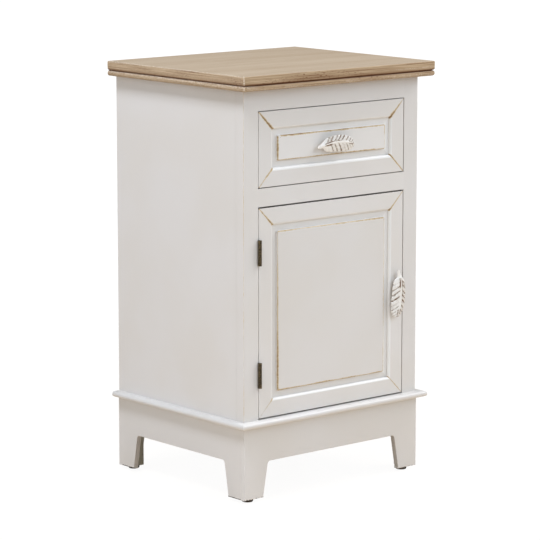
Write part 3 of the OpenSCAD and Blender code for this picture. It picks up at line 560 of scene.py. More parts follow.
def zinc_steel(look):
    """Zinc plating with faint turned scratches."""
    f = Finish("zinc_steel")
    grit = f.noise(f.place, 3000.0, 2.0)
    shade = f.mix(f.step(grit, 0.3, 0.7, 0.0, 0.35), look.steel, look.steel_dark)
    return f.finish(Base_Color=shade, Metallic=0.9, Roughness=f.step(grit, 0.3, 0.7, 0.28, 0.42),
                    Normal=f.bump(grit, 0.00002))


def moulded_plastic(look):
    """Moulded plastic with a fine spark-eroded texture."""
    f = Finish("moulded_plastic")
    grit = f.noise(f.place, 2200.0, 3.0)
    shade = f.mix(f.step(grit, 0.3, 0.7, 0.0, 0.4), look.plastic, look.plastic_pale)
    return f.finish(Base_Color=shade, Roughness=f.step(grit, 0.3, 0.7, 0.5, 0.65), Normal=f.bump(grit, 0.00003))


# The finish of each material slot. A grained wood is given by the names of its two tones
PLAIN = {
    "painted_wood": antique_paint, "oak_veneer": limed_oak, "bronze": aged_bronze,
    "washed_metal": washed_casting, "steel": zinc_steel, "dark_plastic": moulded_plastic,
}
GRAINED = {
    "bare_wood": ("planed_wood", "bare", "bare_dark"), "plywood": ("birch_ply", "ply", "bare"),
    "blocks": ("stained_wood", "block", "block_dark"),
}


def finish_of(slot, axis=0):
    """The finish of a slot, made when it is first asked for. The grain of a grained wood runs along
    the axis."""
    look = bpy.context.scene.nightstand_finish
    if slot in PLAIN:
        return bpy.data.materials.get(PLAIN[slot].__name__) or PLAIN[slot](look)
    kind, first, second = GRAINED[slot]
    name = f"{kind}_{'xyz'[axis]}"
    return bpy.data.materials.get(name) or grained_wood(name, axis, getattr(look, first), getattr(look, second))


# Boards


# Pale marks on the veneered boards' edges, partly rubbed wear and partly painted highlight: at the front
# corners, painted sheen along the lit left side, a painted highlight on its arris, paler oak under a half
# round, and a painted highlight line along a front, which lies at that share of the edge's depth
CORNER_WEAR_AND_HIGHLIGHT, LEFT_SIDE_SHEEN, ARRIS_HIGHLIGHT, UNDER_WEAR, LINE_HIGHLIGHT, LINE_DEPTH = 0.75, 0.16, 0.3, 0.32, 0.7, 0.6
# Chips along the foot of the left plinth board and of the others
LEFT_CHIPS, CHIPS = 1.5, 1.0
# How thin the paint is on a moulded board, and the grey undercoat as painted shade over a plinth board,
# more in its cut-out, and on the arris there
THIN_MOULDED, PLINTH_SHADE, ARCH_SHADE, ARCH_EDGE_SHADE = 0.05, 0.04, 0.05, 0.35


def board(name, plane, square, wear=None, thin=0.0, rebated=False):
    """A painted board in its node's box with eased edges. The sides named in square, such as x+, stay
    sharp: the outline runs on there and is cut flat. A rebated board is cut back for the back panel."""
    ease = bpy.context.scene.nightstand_shape.ease
    low, high = corners_of(name)
    u, v, depth, sign = PLANES[plane]
    wide_low = (low - ease * np.array([a + "-" in square for a in "xyz"]))[[u, v]]
    wide_high = (high + ease * np.array([a + "+" in square for a in "xyz"]))[[u, v]]
    insets, depths = edge_profile((high - low)[depth], ease, ease / 2, WEAR_STRIP)
    if rebated:
        panel = corners_of("back_panel")
        wall = sign * (panel[0] - low if sign > 0 else panel[1] - high)[depth]
        insets = np.insert(insets, ARC_STEPS + 2, [0.0, 0.0])
        depths = np.insert(depths, ARC_STEPS + 2, [wall, wall])

    rings = rectangles(wide_low, wide_high, ease, insets)
    points = np.clip(placed(rings, depths, plane, low, high), low, high)
    if rebated:
        points[ARC_STEPS + 3:, :, 1] = np.minimum(points[ARC_STEPS + 3:, :, 1], panel[0][1])
    run = along_profile(insets, depths)
    from_arris = np.abs(run - run[1:ARC_STEPS + 2].mean()) / MM
    attributes = {WORN_MM: from_arris[:, None], THIN_PAINT_AND_SHADE: thin}
    if wear:
        side, strength = wear
        axis = "xyz".index(side[0])
        edge = (low if side[1] == "-" else high)[axis]
        attributes[WEAR_AND_HIGHLIGHT] = strength * (np.abs(points[..., axis] - edge) < ease + 5 * MM)
    add_piece(name, "painted", "cabinet", "painted_wood", [points], attributes)


def moulded_board(name, ending, slot, radii=None, glaze=None, highlight_from=None):
    """A lying board whose front and sides have a rounded edge with an upper and a lower radius, or
    half round, mitred round the corners. Its back is square. A veneered one has glaze, with painted shade,
    by the share of the edge's depth, and pale arrises, partly rubbed and partly painted highlight. From
    highlight_from on, a thin painted highlight line runs along its front."""
    low, high = corners_of(name)
    upper, lower = radii or [(high[2] - low[2]) / 2] * 2
    insets, depths = edge_profile(high[2] - low[2], upper, lower, WEAR_STRIP)
    line = LINE_DEPTH * (high[2] - low[2]) + 0.5 * MM * np.array([-1, 0, 1])
    if highlight_from is not None:
        insets = np.insert(insets, ARC_STEPS + 2, [0.0, 0.0, 0.0])
        depths = np.insert(depths, ARC_STEPS + 2, line)
    past_back = np.array([0.0, max(upper, lower) + WEAR_STRIP])
    corner = bpy.context.scene.nightstand_shape.top_corner
    rings = rectangles(low[:2], high[:2] + past_back, corner, insets, BOARD_STEPS, 1.5 * MM)
    points = np.clip(placed(rings, depths, "top", low, high), low, high)
    attributes = {WORN_MM: UNWORN_MM, THIN_PAINT_AND_SHADE: THIN_MOULDED}
    if glaze:
        x, y = points[..., 0], points[..., 1]
        to_side = np.minimum(x - low[0], high[0] - x)
        # Rubbed wear and painted highlight at the front corners, painted sheen along the lit left side and a
        # painted highlight on its arris, and a painted highlight line along a front
        worn = CORNER_WEAR_AND_HIGHLIGHT * (np.maximum(to_side, y - low[1]) < MM)
        arris = (insets > 0) & (depths < upper) & (insets < upper)
        worn = np.maximum(worn, (LEFT_SIDE_SHEEN + ARRIS_HIGHLIGHT * arris[:, None]) * (x < low[0] + upper))
        if highlight_from is None:
            worn = np.maximum(worn, UNDER_WEAR * ((insets < 1.5 * MM) & (depths > lower))[:, None])
        else:
            on_line = np.isclose(depths, line[1])[:, None] & (y < low[1] + MM)
            worn = np.maximum(worn, LINE_HIGHLIGHT * on_line * ease_in(highlight_from, highlight_from + 0.1, x))
        attributes = {GLAZE: glaze(depths / depths[-1])[:, None], WEAR_AND_HIGHLIGHT: worn}
    add_piece(name, ending, "cabinet", slot, [points], attributes)


def plinth_outline(width):
    """Outline of a plinth board. A leg's inner edge leans, and a quarter round joins it to the apron:
    its centre lies one radius below the apron and one radius from the leaning edge."""
    shape = bpy.context.scene.nightstand_shape
    low, high = corners_of("plinth_front")
    half, r = width / 2, shape.leg_round
    lean = math.atan2(shape.leg_top - shape.leg_foot, shape.arch_height)
    foot_x = half - shape.leg_foot
    round_x = half - shape.leg_top - r * (1 - math.sin(lean)) / math.cos(lean)
    turn = np.linspace(math.pi - lean, math.pi / 2, 2 * ARC_STEPS + 1)
    arch = np.stack([r * np.cos(turn) - round_x, shape.arch_height - r + r * np.sin(turn)], 1)
    chip = 3 * MM
    foot = [[-half, high[2] - low[2]], [-half, chip], [-half, 0.0], [-foot_x, 0.0],
            [-foot_x - chip * math.tan(lean), chip]]
    left = np.concatenate([foot, arch])
    return np.concatenate([left, left[::-1] * [-1, 1]]) + [0.0, low[2]]


def plinth_board(name, plane):
    """A plinth board: its outline laid in rings over the eased edges. Side boards stand between the
    front and back ones, so their outline is cut at both ends."""
    shape = bpy.context.scene.nightstand_shape
    low, high = corners_of(name)
    u, _, depth, _ = PLANES[plane]
    width = 2 * high[0] if u == 0 else corners_of("plinth_back")[1][1] - corners_of("plinth_front")[0][1]
    middle = 0.0 if u == 0 else (low[1] + high[1]) / 2
    outline = plinth_outline(width) + [middle, 0.0]
    insets, depths = edge_profile(high[depth] - low[depth], shape.ease, shape.ease / 3, 2 * MM)
    rings = np.stack([inset(outline, i) for i in insets])
    rings[:, [0, -1], 1] = high[2]
    points = np.clip(placed(rings, depths, plane, low, high), low, high)
    near_floor = points[..., 2] < low[2] + 1.6 * MM
    ring = np.arange(len(insets))[:, None]
    in_arch = np.abs(outline[:, 0] - middle) < width / 2 - shape.leg_foot + 2 * MM
    # Grey undercoat as painted shade over the board, more in its cut-out and on the arris there
    add_piece(name, "painted", "cabinet", "painted_wood", [points], {
        CHIPS_AND_GAP_SHADOW: (LEFT_CHIPS if plane == "left" else CHIPS) * near_floor * (ring <= ARC_STEPS + 1),
        THIN_PAINT_AND_SHADE: np.maximum(PLINTH_SHADE + ARCH_SHADE * in_arch, ARCH_EDGE_SHADE * in_arch * (ring > ARC_STEPS // 2 + 1)),
        WORN_MM: UNWORN_MM,
    })


def corner_blocks():
    """The blocks inside the legs, with eased edges. The front ones are slimmer: none shows beside the
    right front leg."""
    shape = bpy.context.scene.nightstand_shape
    low, high = corners_of("plinth_corner_blocks")
    insets, depths = edge_profile(high[2] - low[2], shape.ease, shape.ease, 2 * MM)
    blocks = []
    for side in (-1, 1):
        for back, width in ((-1, shape.block_front), (1, shape.block)):
            outer = np.array([(low if side < 0 else high)[0], (low if back < 0 else high)[1]])
            inner = outer - [side * width, back * shape.block]
            near, far = np.minimum(outer, inner), np.maximum(outer, inner)
            rings = rectangles(near, far, shape.ease, insets)
            blocks.append(placed(rings, depths, "top", low, high))
    add_piece("plinth_corner_blocks", "eased", "cabinet", "bare_wood", blocks, {}, finish_of("blocks", 2))


# Drawer front and door


def member_section(width, thickness):
    """Closed section of a frame member as inset from its outer edge and depth below its face: an eased
    outer edge, the flat face, a quarter round down the inner edge, and the groove for the panel."""
    shape = bpy.context.scene.nightstand_shape
    outer, inner = shape.member_ease, shape.member_inner
    a = np.linspace(0, math.pi / 2, ARC_STEPS + 1)
    eased = outer * np.stack([1 - np.cos(a), 1 - np.sin(a)], 1)
    b = np.linspace(0, math.pi / 2, 2 * ARC_STEPS + 1)
    rounded = [width - inner, 0.0] + inner * np.stack([np.sin(b), 1 - np.cos(b)], 1)
    flat = [[width - inner - MM, 0.0]]
    groove = width - 8 * MM
    deep = shape.recess + shape.tongue
    rest = [[width, shape.recess], [groove, shape.recess], [groove, deep], [width, deep],
            [width, thickness], [0.0, thickness], [0.0, shape.recess]]
    return np.concatenate([eased, flat, rounded, rest])


# Painted highlight on the inner rounding of the members below and on the right, and of the other two
NEAR_HIGHLIGHT, FAR_HIGHLIGHT = 0.9, 0.3
# Painted shadow of the gap above the door, in the dark chip colour over its upper arris, and chips of the nick
# in a raised panel
DOOR_GAP_SHADOW, NICK_CHIPS = 2.0, 1.1
# Painted light in the band round a field, lifting the recess's shade: below, on the right, above and on the
# left
BAND_LIGHT = np.array([0.4, 1.0, 0.6, 0.4])


def member(prefix, side, worn_start, worn_end):
    """One member of a front: its section carried from mitre to mitre. Every section point runs as far
    as its own inset lets it, and a small vee is left where two members meet."""
    shape = bpy.context.scene.nightstand_shape
    name = f"{prefix}_member_{side}"
    low, high = corners_of(name)
    upright = side in ("left", "right")
    run = (high - low)[2 if upright else 0]
    width = (high - low)[0 if upright else 2]
    section = member_section(width, high[1] - low[1])
    from_mitre = np.array([0.0, shape.mitre_vee, 2.5 * MM, 8 * MM])
    start = from_mitre * math.sqrt(2)
    columns = np.concatenate([start, [run / 2], -start[::-1]])[:, None]
    distance = np.concatenate([from_mitre, [run], from_mitre[::-1]]) / MM
    sections = np.stack([inset(section, shape.mitre_vee * (d == 0)) for d in distance])
    across, below = np.moveaxis(sections, -1, 0)
    number = np.arange(len(columns))[:, None]
    along = columns + np.where(number < len(start), across, 0.0)
    along = along + np.where(number > len(start), run - across, 0.0)
    points = np.empty(across.shape + (3,))
    points[..., 1] = low[1] + below
    axis, other = (2, 0) if upright else (0, 2)
    points[..., axis] = low[axis] + along
    points[..., other] = low[other] + across if side in ("left", "bottom") else high[other] - across
    share = np.linspace(0, 1, len(columns))[:, None]
    inward = across / width
    on_face = below < shape.recess
    rounding = (inward > 1 - shape.member_inner / width) & on_face
    outside = (inward < 0.3 * MM / width) & on_face
    # Painted highlight on the inner roundings, and painted light on the left member's outer edge in its gap;
    # the painted shadow of the gap above the door lies on the top member's arris
    add_piece(name, "moulded", prefix, "painted_wood", [points], {
        WORN_MM: distance[:, None],
        WEAR_AND_HIGHLIGHT: (worn_start + (worn_end - worn_start) * share) * on_face * (0.6 + 0.7 * inward),
        PAINTED_LIGHT: rounding * (NEAR_HIGHLIGHT if side in ("right", "bottom") else FAR_HIGHLIGHT) + outside * (side == "left"),
        CHIPS_AND_GAP_SHADOW: DOOR_GAP_SHADOW * outside * (name == "door_member_top"),
    })


def raised_panel(prefix, worn, nick=None, pale=0.0, thin=0.0):
    """The panel of a front: rings of its rectangle from the tongue over the recessed band, up the
    field's wall and over its rounded edge. worn gives the wear at both ends of the lower, right,
    upper and left edge. The upper edge keeps its paint up to a nick at that distance from its start."""
    shape = bpy.context.scene.nightstand_shape
    name = prefix + "_field_panel"
    low, high = corners_of(name)
    member_low, member_high = corners_of(prefix + "_member_left")
    face = member_low[1]
    tongue = member_high[0] - low[0]
    field = low[1] - face
    wall = shape.band + tongue
    a = np.linspace(0, math.pi / 2, ARC_STEPS + 1)
    foot, r = 0.6 * MM, shape.field_edge
    insets = np.r_[0, 0, tongue + 2 * MM, wall - foot, wall - foot + foot * np.sin(a[1:]),
                   wall + r * (1 - np.cos(a)), wall + r + 3 * MM]
    depths = np.r_[shape.recess + np.array([shape.tongue, 0, 0, 0]), shape.recess - foot * (1 - np.cos(a[1:])),
                   field + r * (1 - np.sin(a)), field]
    run = along_profile(insets, depths)
    arris = run[-2 - ARC_STEPS // 2]
    corners = np.maximum(shape.field_corner + np.minimum(wall - insets, 0), 0)
    rings = [rounded_rectangle(low[[0, 2]] + i, high[[0, 2]] - i, c, PANEL_STEPS)
             for i, c in zip(insets, corners)]
    points = placed(rings, depths, "front", (0.0, face), high)
    x, z = points[..., 0], points[..., 2]
    nearest = np.stack([z - low[2], high[0] - x, high[2] - z, x - low[0]]).argmin(0)
    share = (points - low) / (high - low)
    share = np.where(nearest % 2 == 0, share[..., 0], share[..., 2])
    start, end = np.array(worn).T
    worn_by = start[nearest] + (end - start)[nearest] * share
    chipped = np.zeros_like(worn_by)
    if nick is not None:
        past_nick = x - low[0] - wall - nick
        above = nearest == 2
        worn_by = np.where(above & (past_nick < -4 * MM), 0.0, worn_by)
        chipped = NICK_CHIPS * (above & (np.abs(past_nick) < 3.2 * MM) & (insets > wall - foot)[:, None])
    # Painted light lifts the shade of the recessed band, and brightens the whole field where pale is given
    in_band = ((insets > 0) & (insets < wall))[:, None]
    add_piece(name, "raised", prefix, "painted_wood", [points], {
        WORN_MM: np.abs(run - arris)[:, None] / MM,
        WEAR_AND_HIGHLIGHT: worn_by,
        CHIPS_AND_GAP_SHADOW: chipped,
        PAINTED_LIGHT: np.where(in_band, BAND_LIGHT[nearest], pale),
        THIN_PAINT_AND_SHADE: thin,
    })


# Feather pulls


def ease_in(a, b, value):
    """0 below a, 1 above b, and 3 t^2 - 2 t^3 between them."""
    t = np.clip((value - a) / (b - a), 0, 1)
    return t * t * (3 - 2 * t)


# Barbs of a feather of 78 mm from its root to its end, in millimetres from the middle of its two posts:
# X and Y of the barb's foot on the quill, of its end on the narrow vane's rim and of its end on the wide one's
BARBS = np.array([
    (-39.0, -5.0, -38.8, -3.7, -38.6, -6.5),
    (-34.5, -3.9, -33.3, -1.0, -33.0, -6.9),
    (-30.0, -2.7, -27.0, 3.6, -27.0, -6.6),
    (-25.9, -1.7, -20.5, 8.6, -21.4, -11.4),
    (-20.0, -0.3, -12.0, 10.7, -12.5, -13.6),
    (-12.0, 1.0, -3.0, 12.1, -1.5, -14.2),
    (-3.0, 1.7, 6.6, 12.5, 8.0, -14.9),
    (6.5, 1.8, 15.5, 11.9, 17.0, -15.1),
    (15.5, 1.1, 23.5, 9.4, 26.0, -14.3),
    (23.5, -0.6, 30.0, 6.6, 32.0, -13.2),
    (30.3, -2.1, 35.4, 3.0, 36.0, -11.0),
    (36.6, -3.8, 38.2, -1.2, 38.2, -7.4),
]) / 78
# How deep the grooves between the groups of barbs are cut, from the root to the end
NARROW_CUTS = (0.3, 0.4, 0.6, 0.7, 1.0, 1.0, 0.6, 0.9, 0.7, 0.5)
WIDE_CUTS = (0.2, 0.2, 0.55, 0.8, 1.0, 0.15, 0.6, 0.25, 0.4, 0.2)
BACK_GLAZE, POST_GLAZE = 0.5, 0.35


def smooth_rows(rows, count):
    """A smooth curve through the rows. Between two rows p and q it is the cubic
    (2u^3 - 3u^2 + 1) p + (u^3 - 2u^2 + u) m + (3u^2 - 2u^3) q + (u^3 - u^2) n, where the slopes m and n
    are half the way from the row before to the row after."""
    at = np.linspace(0, len(rows) - 1, count)
    row = np.minimum(at.astype(int), len(rows) - 2)
    u = (at - row)[:, None]
    slope = np.gradient(rows, axis=0)
    return ((2 * u ** 3 - 3 * u ** 2 + 1) * rows[row] + (u ** 3 - 2 * u ** 2 + u) * slope[row]
            + (3 * u ** 2 - 2 * u ** 3) * rows[row + 1] + (u ** 3 - u ** 2) * slope[row + 1])


def hump(value, a, b, c, d):
    """0 below a, 1 from b to c, and 0 again above d."""
    return ease_in(a, b, value) * (1 - ease_in(c, d, value))


def feather(pull):
    """Rings and glaze of a cast feather that lies in X and Y with its face towards +Z.

    S runs from 0 at the root to 1 at the feather's end, and T from -1 at the wide vane's rim over 0 on
    the quill to 1 at the narrow vane's. A point lies on its barb at foot + |T| (end - foot). Grooves,
    |cos|^10 along S, part the barbs into groups. The face is crowned by 1 - T^2, rises towards the
    narrow vane by T, and carries the round quill and fine strands.
    """
    count, columns = 420, 61
    s = np.linspace(0, 1, count)[:, None]
    t = np.sin(np.linspace(-math.pi / 2, math.pi / 2, columns))[None, :]
    narrow = t > 0
    off = np.abs(t)
    barbs = smooth_rows(BARBS * pull.size, count)[:, :, None]
    foot = barbs[:, 0:2]
    reach = np.where(narrow[:, None], barbs[:, 2:4], barbs[:, 4:6]) - foot
    phase = pull.groups * (s - pull.bare) / (1 - pull.bare)
    phase = phase + np.where(narrow, 0.10, -0.06) * np.sin(1.7 * phase) + 0.25 * narrow
    notch = np.where(phase < 0, 0.0, np.abs(np.cos(math.pi * phase)) ** 10)
    narrow_cut, wide_cut = (np.interp(phase, range(len(cuts)), cuts) for cuts in (NARROW_CUTS, WIDE_CUTS))
    groove = notch * np.where(narrow, narrow_cut, wide_cut)
    strands = np.where(phase < 0, 0.0, 0.5 - 0.5 * np.cos(11 * math.pi * phase + 2 * np.sin(3 * phase)))
    along = off * (1 - 0.07 * notch * ease_in(0.5, 1, off))
    x, y = np.moveaxis(foot + along[:, None] * reach, 1, 0)
    from_quill = along * np.hypot(reach[:, 0], reach[:, 1]) / (pull.shaft_radius * (1 - 0.6 * s))
    vane = ease_in(0.12, 0.34, s) * (1 - 0.45 * ease_in(0.75, 1, s))
    lift = vane * pull.lean * t
    crown = (vane * pull.crown + (1 - ease_in(0.05, 0.3, s)) * pull.root) * (1 - t * t)
    shaft = pull.shaft * np.sqrt(np.clip(1 - from_quill ** 2, 0, 1)) * ease_in(0.15, 0.3, s) * (1 - 0.5 * s)
    open_vane = ease_in(0.05, 0.35, off)
    rim = pull.rim * (1 - 0.55 * ease_in(0.86, 1.0, off))
    face = pull.gap + rim + crown + lift + shaft
    face = face - (pull.groove * groove + pull.strand * strands) * open_vane
    back = pull.gap + 0.5 * crown + lift
    top = np.stack([x, y, face], -1)
    under = np.stack([x, y, np.minimum(back, face - 0.4 * MM)], -1)
    rings = np.concatenate([top, under[:, ::-1]], 1)
    beside = hump(off, 0.04, 0.10, 0.14, 0.30)
    start = hump(s, 0.25, 0.29, 0.40, 0.50)
    middle = np.where(narrow, 0.6, 0.15) * hump(s, 0.38, 0.5, 0.6, 0.75)
    end = np.where(narrow, 0.6, 0.95) * ease_in(0.78, 0.88, s)
    tan = 0.3 * narrow * ease_in(0.1, 0.4, off) * hump(s, 0.26, 0.31, 0.38, 0.46)
    lines = strands ** 2.5 * open_vane * np.where(narrow, 0.65, 0.42) * ease_in(0.3, 0.45, s)
    glaze = np.clip(groove * open_vane + beside * (start + middle + end) + lines + tan, 0, 1)
    glaze = np.concatenate([glaze, np.full_like(glaze, BACK_GLAZE)], 1)
    return rings, glaze


def post(pull, x):
    """Rings of a waisted round post along Z: radius 1 at its foot, 0.82 in the middle, 0.95 above."""
    turn = np.linspace(0, 2 * math.pi, POST_POINTS, endpoint=False)
    share = np.array([[0.0, 0.08, 0.3, 0.6, 0.85, 1.0]]).T
    radius = pull.post_radius * np.array([[1.0, 1.0, 0.86, 0.82, 0.88, 0.95]]).T
    z = share * (pull.gap + pull.rim) + 0 * turn
    return np.stack([x + radius * np.cos(turn), radius * np.sin(turn), z], -1)


def feather_pull(prefix, quill_up):
    """A feather and its two posts, turned to face the front. The door's pull stands with its quill up
    and is a little tilted on its posts."""
    pull = bpy.context.scene.nightstand_pull
    name = prefix + "_pull"
    low, high = corners_of(name)
    rings, glaze = feather(pull)
    if quill_up:
        c, s = math.cos(pull.door_tilt), math.sin(pull.door_tilt)
        rings[..., :2] = rings[..., :2] @ np.array([[c, -s], [s, c]])
    posts = [post(pull, x) for x in (-pull.post_pitch / 2, pull.post_pitch / 2)]
    stacks = [rings, *posts]
    amounts = np.concatenate([glaze.ravel(), np.full(sum(p[..., 0].size for p in posts), POST_GLAZE)])
    turn = [[0.0, 0, -1], [1, 0, 0], [0, -1, 0]] if quill_up else [[1.0, 0, 0], [0, 0, 1], [0, -1, 0]]
    middle = (low + high) / 2
    middle[0 if quill_up else 2] += pull.rise
    middle[1] = high[1]
    stacks = [stack @ np.array(turn) + middle for stack in stacks]
    add_piece(name, "feather", prefix, "washed_metal", stacks, {GLAZE: amounts})


# Operators


class NIGHTSTAND_OT_top(bpy.types.Operator):
    """Make the two veneered boards of the top, with dark glaze in the groove between them and painted
    shade on their lower edges
    """

    bl_idname = "nightstand.top"
    bl_label = "Veneered top"

    def execute(self, context):
        shape = context.scene.nightstand_shape

        # Glaze in the groove between the boards; painted shade over the lower half of the top board's edge, and
        # over the under-board, more towards its lower edge
        def glaze_below(share):
            return 0.26 * ease_in(0.3, 0.8, share) + 0.74 * ease_in(0.8, 1.0, share)

        def glaze_above(share):
            return 1 - ease_in(0.0, 0.2, share) + 0.18 + 0.3 * ease_in(0.75, 1.0, share)

        radii = (shape.top_upper, shape.top_lower)
        moulded_board("top_board", "veneered", "oak_veneer", radii, glaze_below, highlight_from=0.05)
        moulded_board("top_under_board", "veneered", "oak_veneer", glaze=glaze_above)
        return {"FINISHED"}


class NIGHTSTAND_OT_carcass(bpy.types.Operator):
    """Make the painted side panels and stiles with their eased edges"""

    bl_idname = "nightstand.carcass"
    bl_label = "Painted carcass"

    def execute(self, context):
        board("side_panel_left", "left", ("z-", "z+", "y-"), rebated=True)
        board("side_panel_right", "right", ("z-", "z+", "y-"), rebated=True)
        board("front_stile_left", "front", ("z-", "z+", "x+"), wear=("x-", 0.30))
        board("front_stile_right", "front", ("z-", "z+", "x-"), wear=("x+", 0.15), thin=0.04)
        return {"FINISHED"}


class NIGHTSTAND_OT_waist(bpy.types.Operator):
    """Make the bullnosed waist board between carcass and plinth"""

    bl_idname = "nightstand.waist"
    bl_label = "Waist board"

    def execute(self, context):
        moulded_board("waist_board", "painted", "painted_wood")
        return {"FINISHED"}


class NIGHTSTAND_OT_plinth(bpy.types.Operator):
    """Make the four plinth boards with their tapered legs and chipped feet, and the corner blocks"""

    bl_idname = "nightstand.plinth"
    bl_label = "Plinth boards"

    def execute(self, context):
        for side in ("front", "back", "left", "right"):
            plinth_board("plinth_" + side, side)
        corner_blocks()
        return {"FINISHED"}


class NIGHTSTAND_OT_fronts(bpy.types.Operator):
    """Make the mitred members and raised panels of the drawer front and the door"""

    bl_idname = "nightstand.fronts"
    bl_label = "Drawer front and door"

    # Wear of the mitres: lower left, lower right, upper right, upper left
    mitres = {"drawer": (0.5, 1.05, 0.8, 2.0), "door": (0.5, 0.6, 0.65, 0.85)}
    # Wear at both ends of the field's edges: lower, right, upper, left
    fields = {
        "drawer": ((1.0, 1.0), (0.9, 1.0), (1.25, 0.9), (1.1, 1.5)),
        "door": ((1.25, 0.9), (0.85, 0.7), (0.8, 0.8), (1.1, 0.3)),
    }

    def execute(self, context):
        for prefix in ("drawer", "door"):
            low_left, low_right, top_right, top_left = self.mitres[prefix]
            member(prefix, "bottom", low_left, low_right)
            member(prefix, "top", top_left, top_right)
            member(prefix, "left", low_left, top_left)
            member(prefix, "right", low_right, top_right)
        # Painted light brightens the drawer's field
        raised_panel("drawer", self.fields["drawer"], nick=7 * MM, pale=0.3)
        raised_panel("door", self.fields["door"], thin=0.04)
        return {"FINISHED"}


class NIGHTSTAND_OT_pulls(bpy.types.Operator):
    """Make the two feather pulls"""

    bl_idname = "nightstand.pulls"
    bl_label = "Feather pulls"

    def execute(self, context):
        feather_pull("drawer", False)
        feather_pull("door", True)
        return {"FINISHED"}


class NIGHTSTAND_OT_finishes(bpy.types.Operator):
    """Give every packed part the finish of its material slot"""

    bl_idname = "nightstand.finishes"
    bl_label = "Finishes"

    def execute(self, context):
        for name, part in NODES.items():
            slot = part.material_slots[0]
            low, high = corners_of(name)
            slot.material = finish_of(slot.material.name, int(np.argmax(high - low)))
        return {"FINISHED"}


class NIGHTSTAND_OT_stage(bpy.types.Operator):
    """Set the camera, the softboxes and the pale floor"""

    bl_idname = "nightstand.stage"
    bl_label = "Studio stage"

    def execute(self, context):
        studio = context.scene.nightstand_studio
        add_camera(context.scene, studio)
        add_softbox("left_key_rear", -90, 59, 2.8, 0.7, studio.key_back, studio.left_tint)
        add_softbox("left_key_front", -70, 59, 2.8, 0.7, studio.key_front, studio.left_tint)
        add_softbox("left_fill", -85, 20, 3.0, 2.0, studio.fill, studio.left_tint)
        add_softbox("right_softbox", 65, 40, 3.0, 1.6, studio.right, studio.right_tint)
        add_softbox("front_softbox", 5, 30, 3.0, 1.6, studio.front, studio.front_tint)
        light_world(context.scene, studio)
        add_floor(studio)
        context.scene.view_settings.view_transform = "Standard"
        return {"FINISHED"}


def add_camera(scene, studio):
    """A level-rolled camera that looks along (-sin a cos p, cos a cos p, -sin p)."""
    a, p = studio.azimuth, studio.pitch
    look = Vector((-math.sin(a) * math.cos(p), math.cos(a) * math.cos(p), -math.sin(p)))
    data = bpy.data.cameras.new("studio_camera")
    data.lens = studio.lens
    data.sensor_width = SENSOR_MM
    scene.camera = linked("studio_camera", data)
    scene.camera.location = studio.eye
    scene.camera.rotation_euler = look.to_track_quat("-Z", "Y").to_euler()


def add_softbox(name, azimuth, elevation, distance, size, watts, tint):
    """A square lamp that looks at the middle of the nightstand. Its azimuth runs from the front
    towards the right, in degrees like its elevation."""
    a, e = math.radians(azimuth), math.radians(elevation)
    away = Vector((math.sin(a) * math.cos(e), -math.cos(a) * math.cos(e), math.sin(e)))
    data = bpy.data.lights.new(name, "AREA")
    data.size = size
    data.energy = watts
    data.color = tint
    lamp = linked(name, data)
    lamp.location = LIT_POINT + away * distance
    lamp.rotation_euler = away.to_track_quat("Z", "Y").to_euler()


def light_world(scene, studio):
    """A white backdrop for the camera, and a dimmer, tinted light for everything else."""
    scene.world = bpy.data.worlds.new("studio_world")
    nodes = Nodes(scene.world)
    ambient = nodes.node("Background", {"Color": studio.ambient_tint, "Strength": studio.ambient})
    backdrop = nodes.node("Background", {"Color": (1.0, 1.0, 1.0)})
    nodes.end("World", nodes.for_camera(backdrop.outputs[0], ambient.outputs[0]))


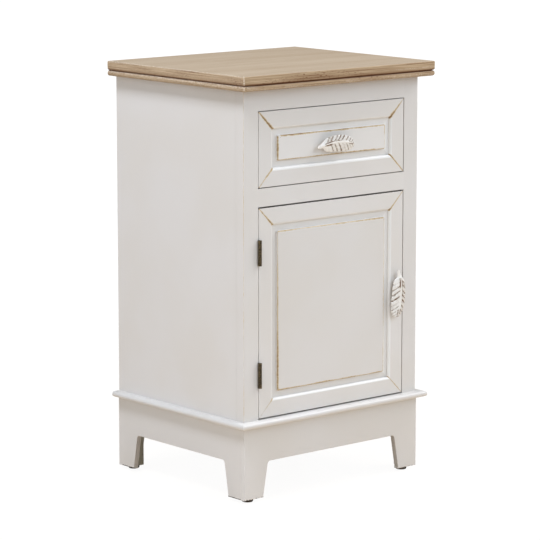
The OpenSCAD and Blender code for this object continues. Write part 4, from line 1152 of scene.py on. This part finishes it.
def floor_finish(studio):
    """A pale floor for all light that bounces off it. The camera sees mostly a white glow with a faint
    shine. It lets the object's shadow through near the feet, and is all white further out."""
    f = Finish("studio_floor")
    matt = f.node("BsdfDiffuse", {"Color": studio.floor}).outputs[0]
    glow = f.node("Emission", {"Strength": studio.glow}).outputs[0]
    gloss = f.node("BsdfGlossy", {"Roughness": FLOOR_ROUGHNESS}).outputs[0]
    away = f.node("VectorMath", {0: f.place}, operation="LENGTH").outputs["Value"]
    veil = f.step(away, studio.shadow_near, studio.shadow_far, studio.veil, 1.0)
    seen = f.blend(veil, matt, f.blend(studio.shine, glow, gloss))
    return f.end("Material", f.for_camera(seen, matt))


def add_floor(studio):
    """A wide flat disc under the feet."""
    turn = np.linspace(0, 2 * math.pi, FLOOR_POINTS, endpoint=False)
    rim = FLOOR_RADIUS * np.stack([np.cos(turn), np.sin(turn), 0 * turn], 1)
    mesh = bpy.data.meshes.new("studio_floor")
    mesh.from_pydata(rim.tolist(), [], [list(range(FLOOR_POINTS))])
    mesh.materials.append(floor_finish(studio))
    linked("studio_floor", mesh)


class NIGHTSTAND_PT_parts(bpy.types.Panel):
    """Lists the nightstand's operators and their settings"""

    bl_idname = "NIGHTSTAND_PT_parts"
    bl_label = "Painted nightstand"
    bl_space_type = "VIEW_3D"
    bl_region_type = "UI"
    bl_category = "Nightstand"

    def draw(self, context):
        column = self.layout.column()
        for operator in OPERATORS:
            column.operator(operator.bl_idname)
        for group in GROUPS:
            settings = getattr(context.scene, GROUPS[group])
            column.label(text=group.__doc__.split(".")[0])
            for key in group.__annotations__:
                column.prop(settings, key)


GROUPS = {
    NightstandShape: "nightstand_shape", NightstandPull: "nightstand_pull",
    NightstandFinish: "nightstand_finish", NightstandStudio: "nightstand_studio",
}
OPERATORS = (
    NIGHTSTAND_OT_top, NIGHTSTAND_OT_carcass, NIGHTSTAND_OT_waist, NIGHTSTAND_OT_plinth,
    NIGHTSTAND_OT_fronts, NIGHTSTAND_OT_pulls, NIGHTSTAND_OT_finishes, NIGHTSTAND_OT_stage,
)


def register():
    for group, name in GROUPS.items():
        bpy.utils.register_class(group)
        setattr(bpy.types.Scene, name, PointerProperty(type=group))
    for entry in (*OPERATORS, NIGHTSTAND_PT_parts):
        bpy.utils.register_class(entry)


def unregister():
    for entry in (*OPERATORS, NIGHTSTAND_PT_parts):
        bpy.utils.unregister_class(entry)
    for group, name in GROUPS.items():
        delattr(bpy.types.Scene, name)
        bpy.utils.unregister_class(group)


def main():
    register()
    for operator in OPERATORS:
        group, name = operator.bl_idname.split(".")
        getattr(getattr(bpy.ops, group), name)()


if __name__ == "__main__":
    main()
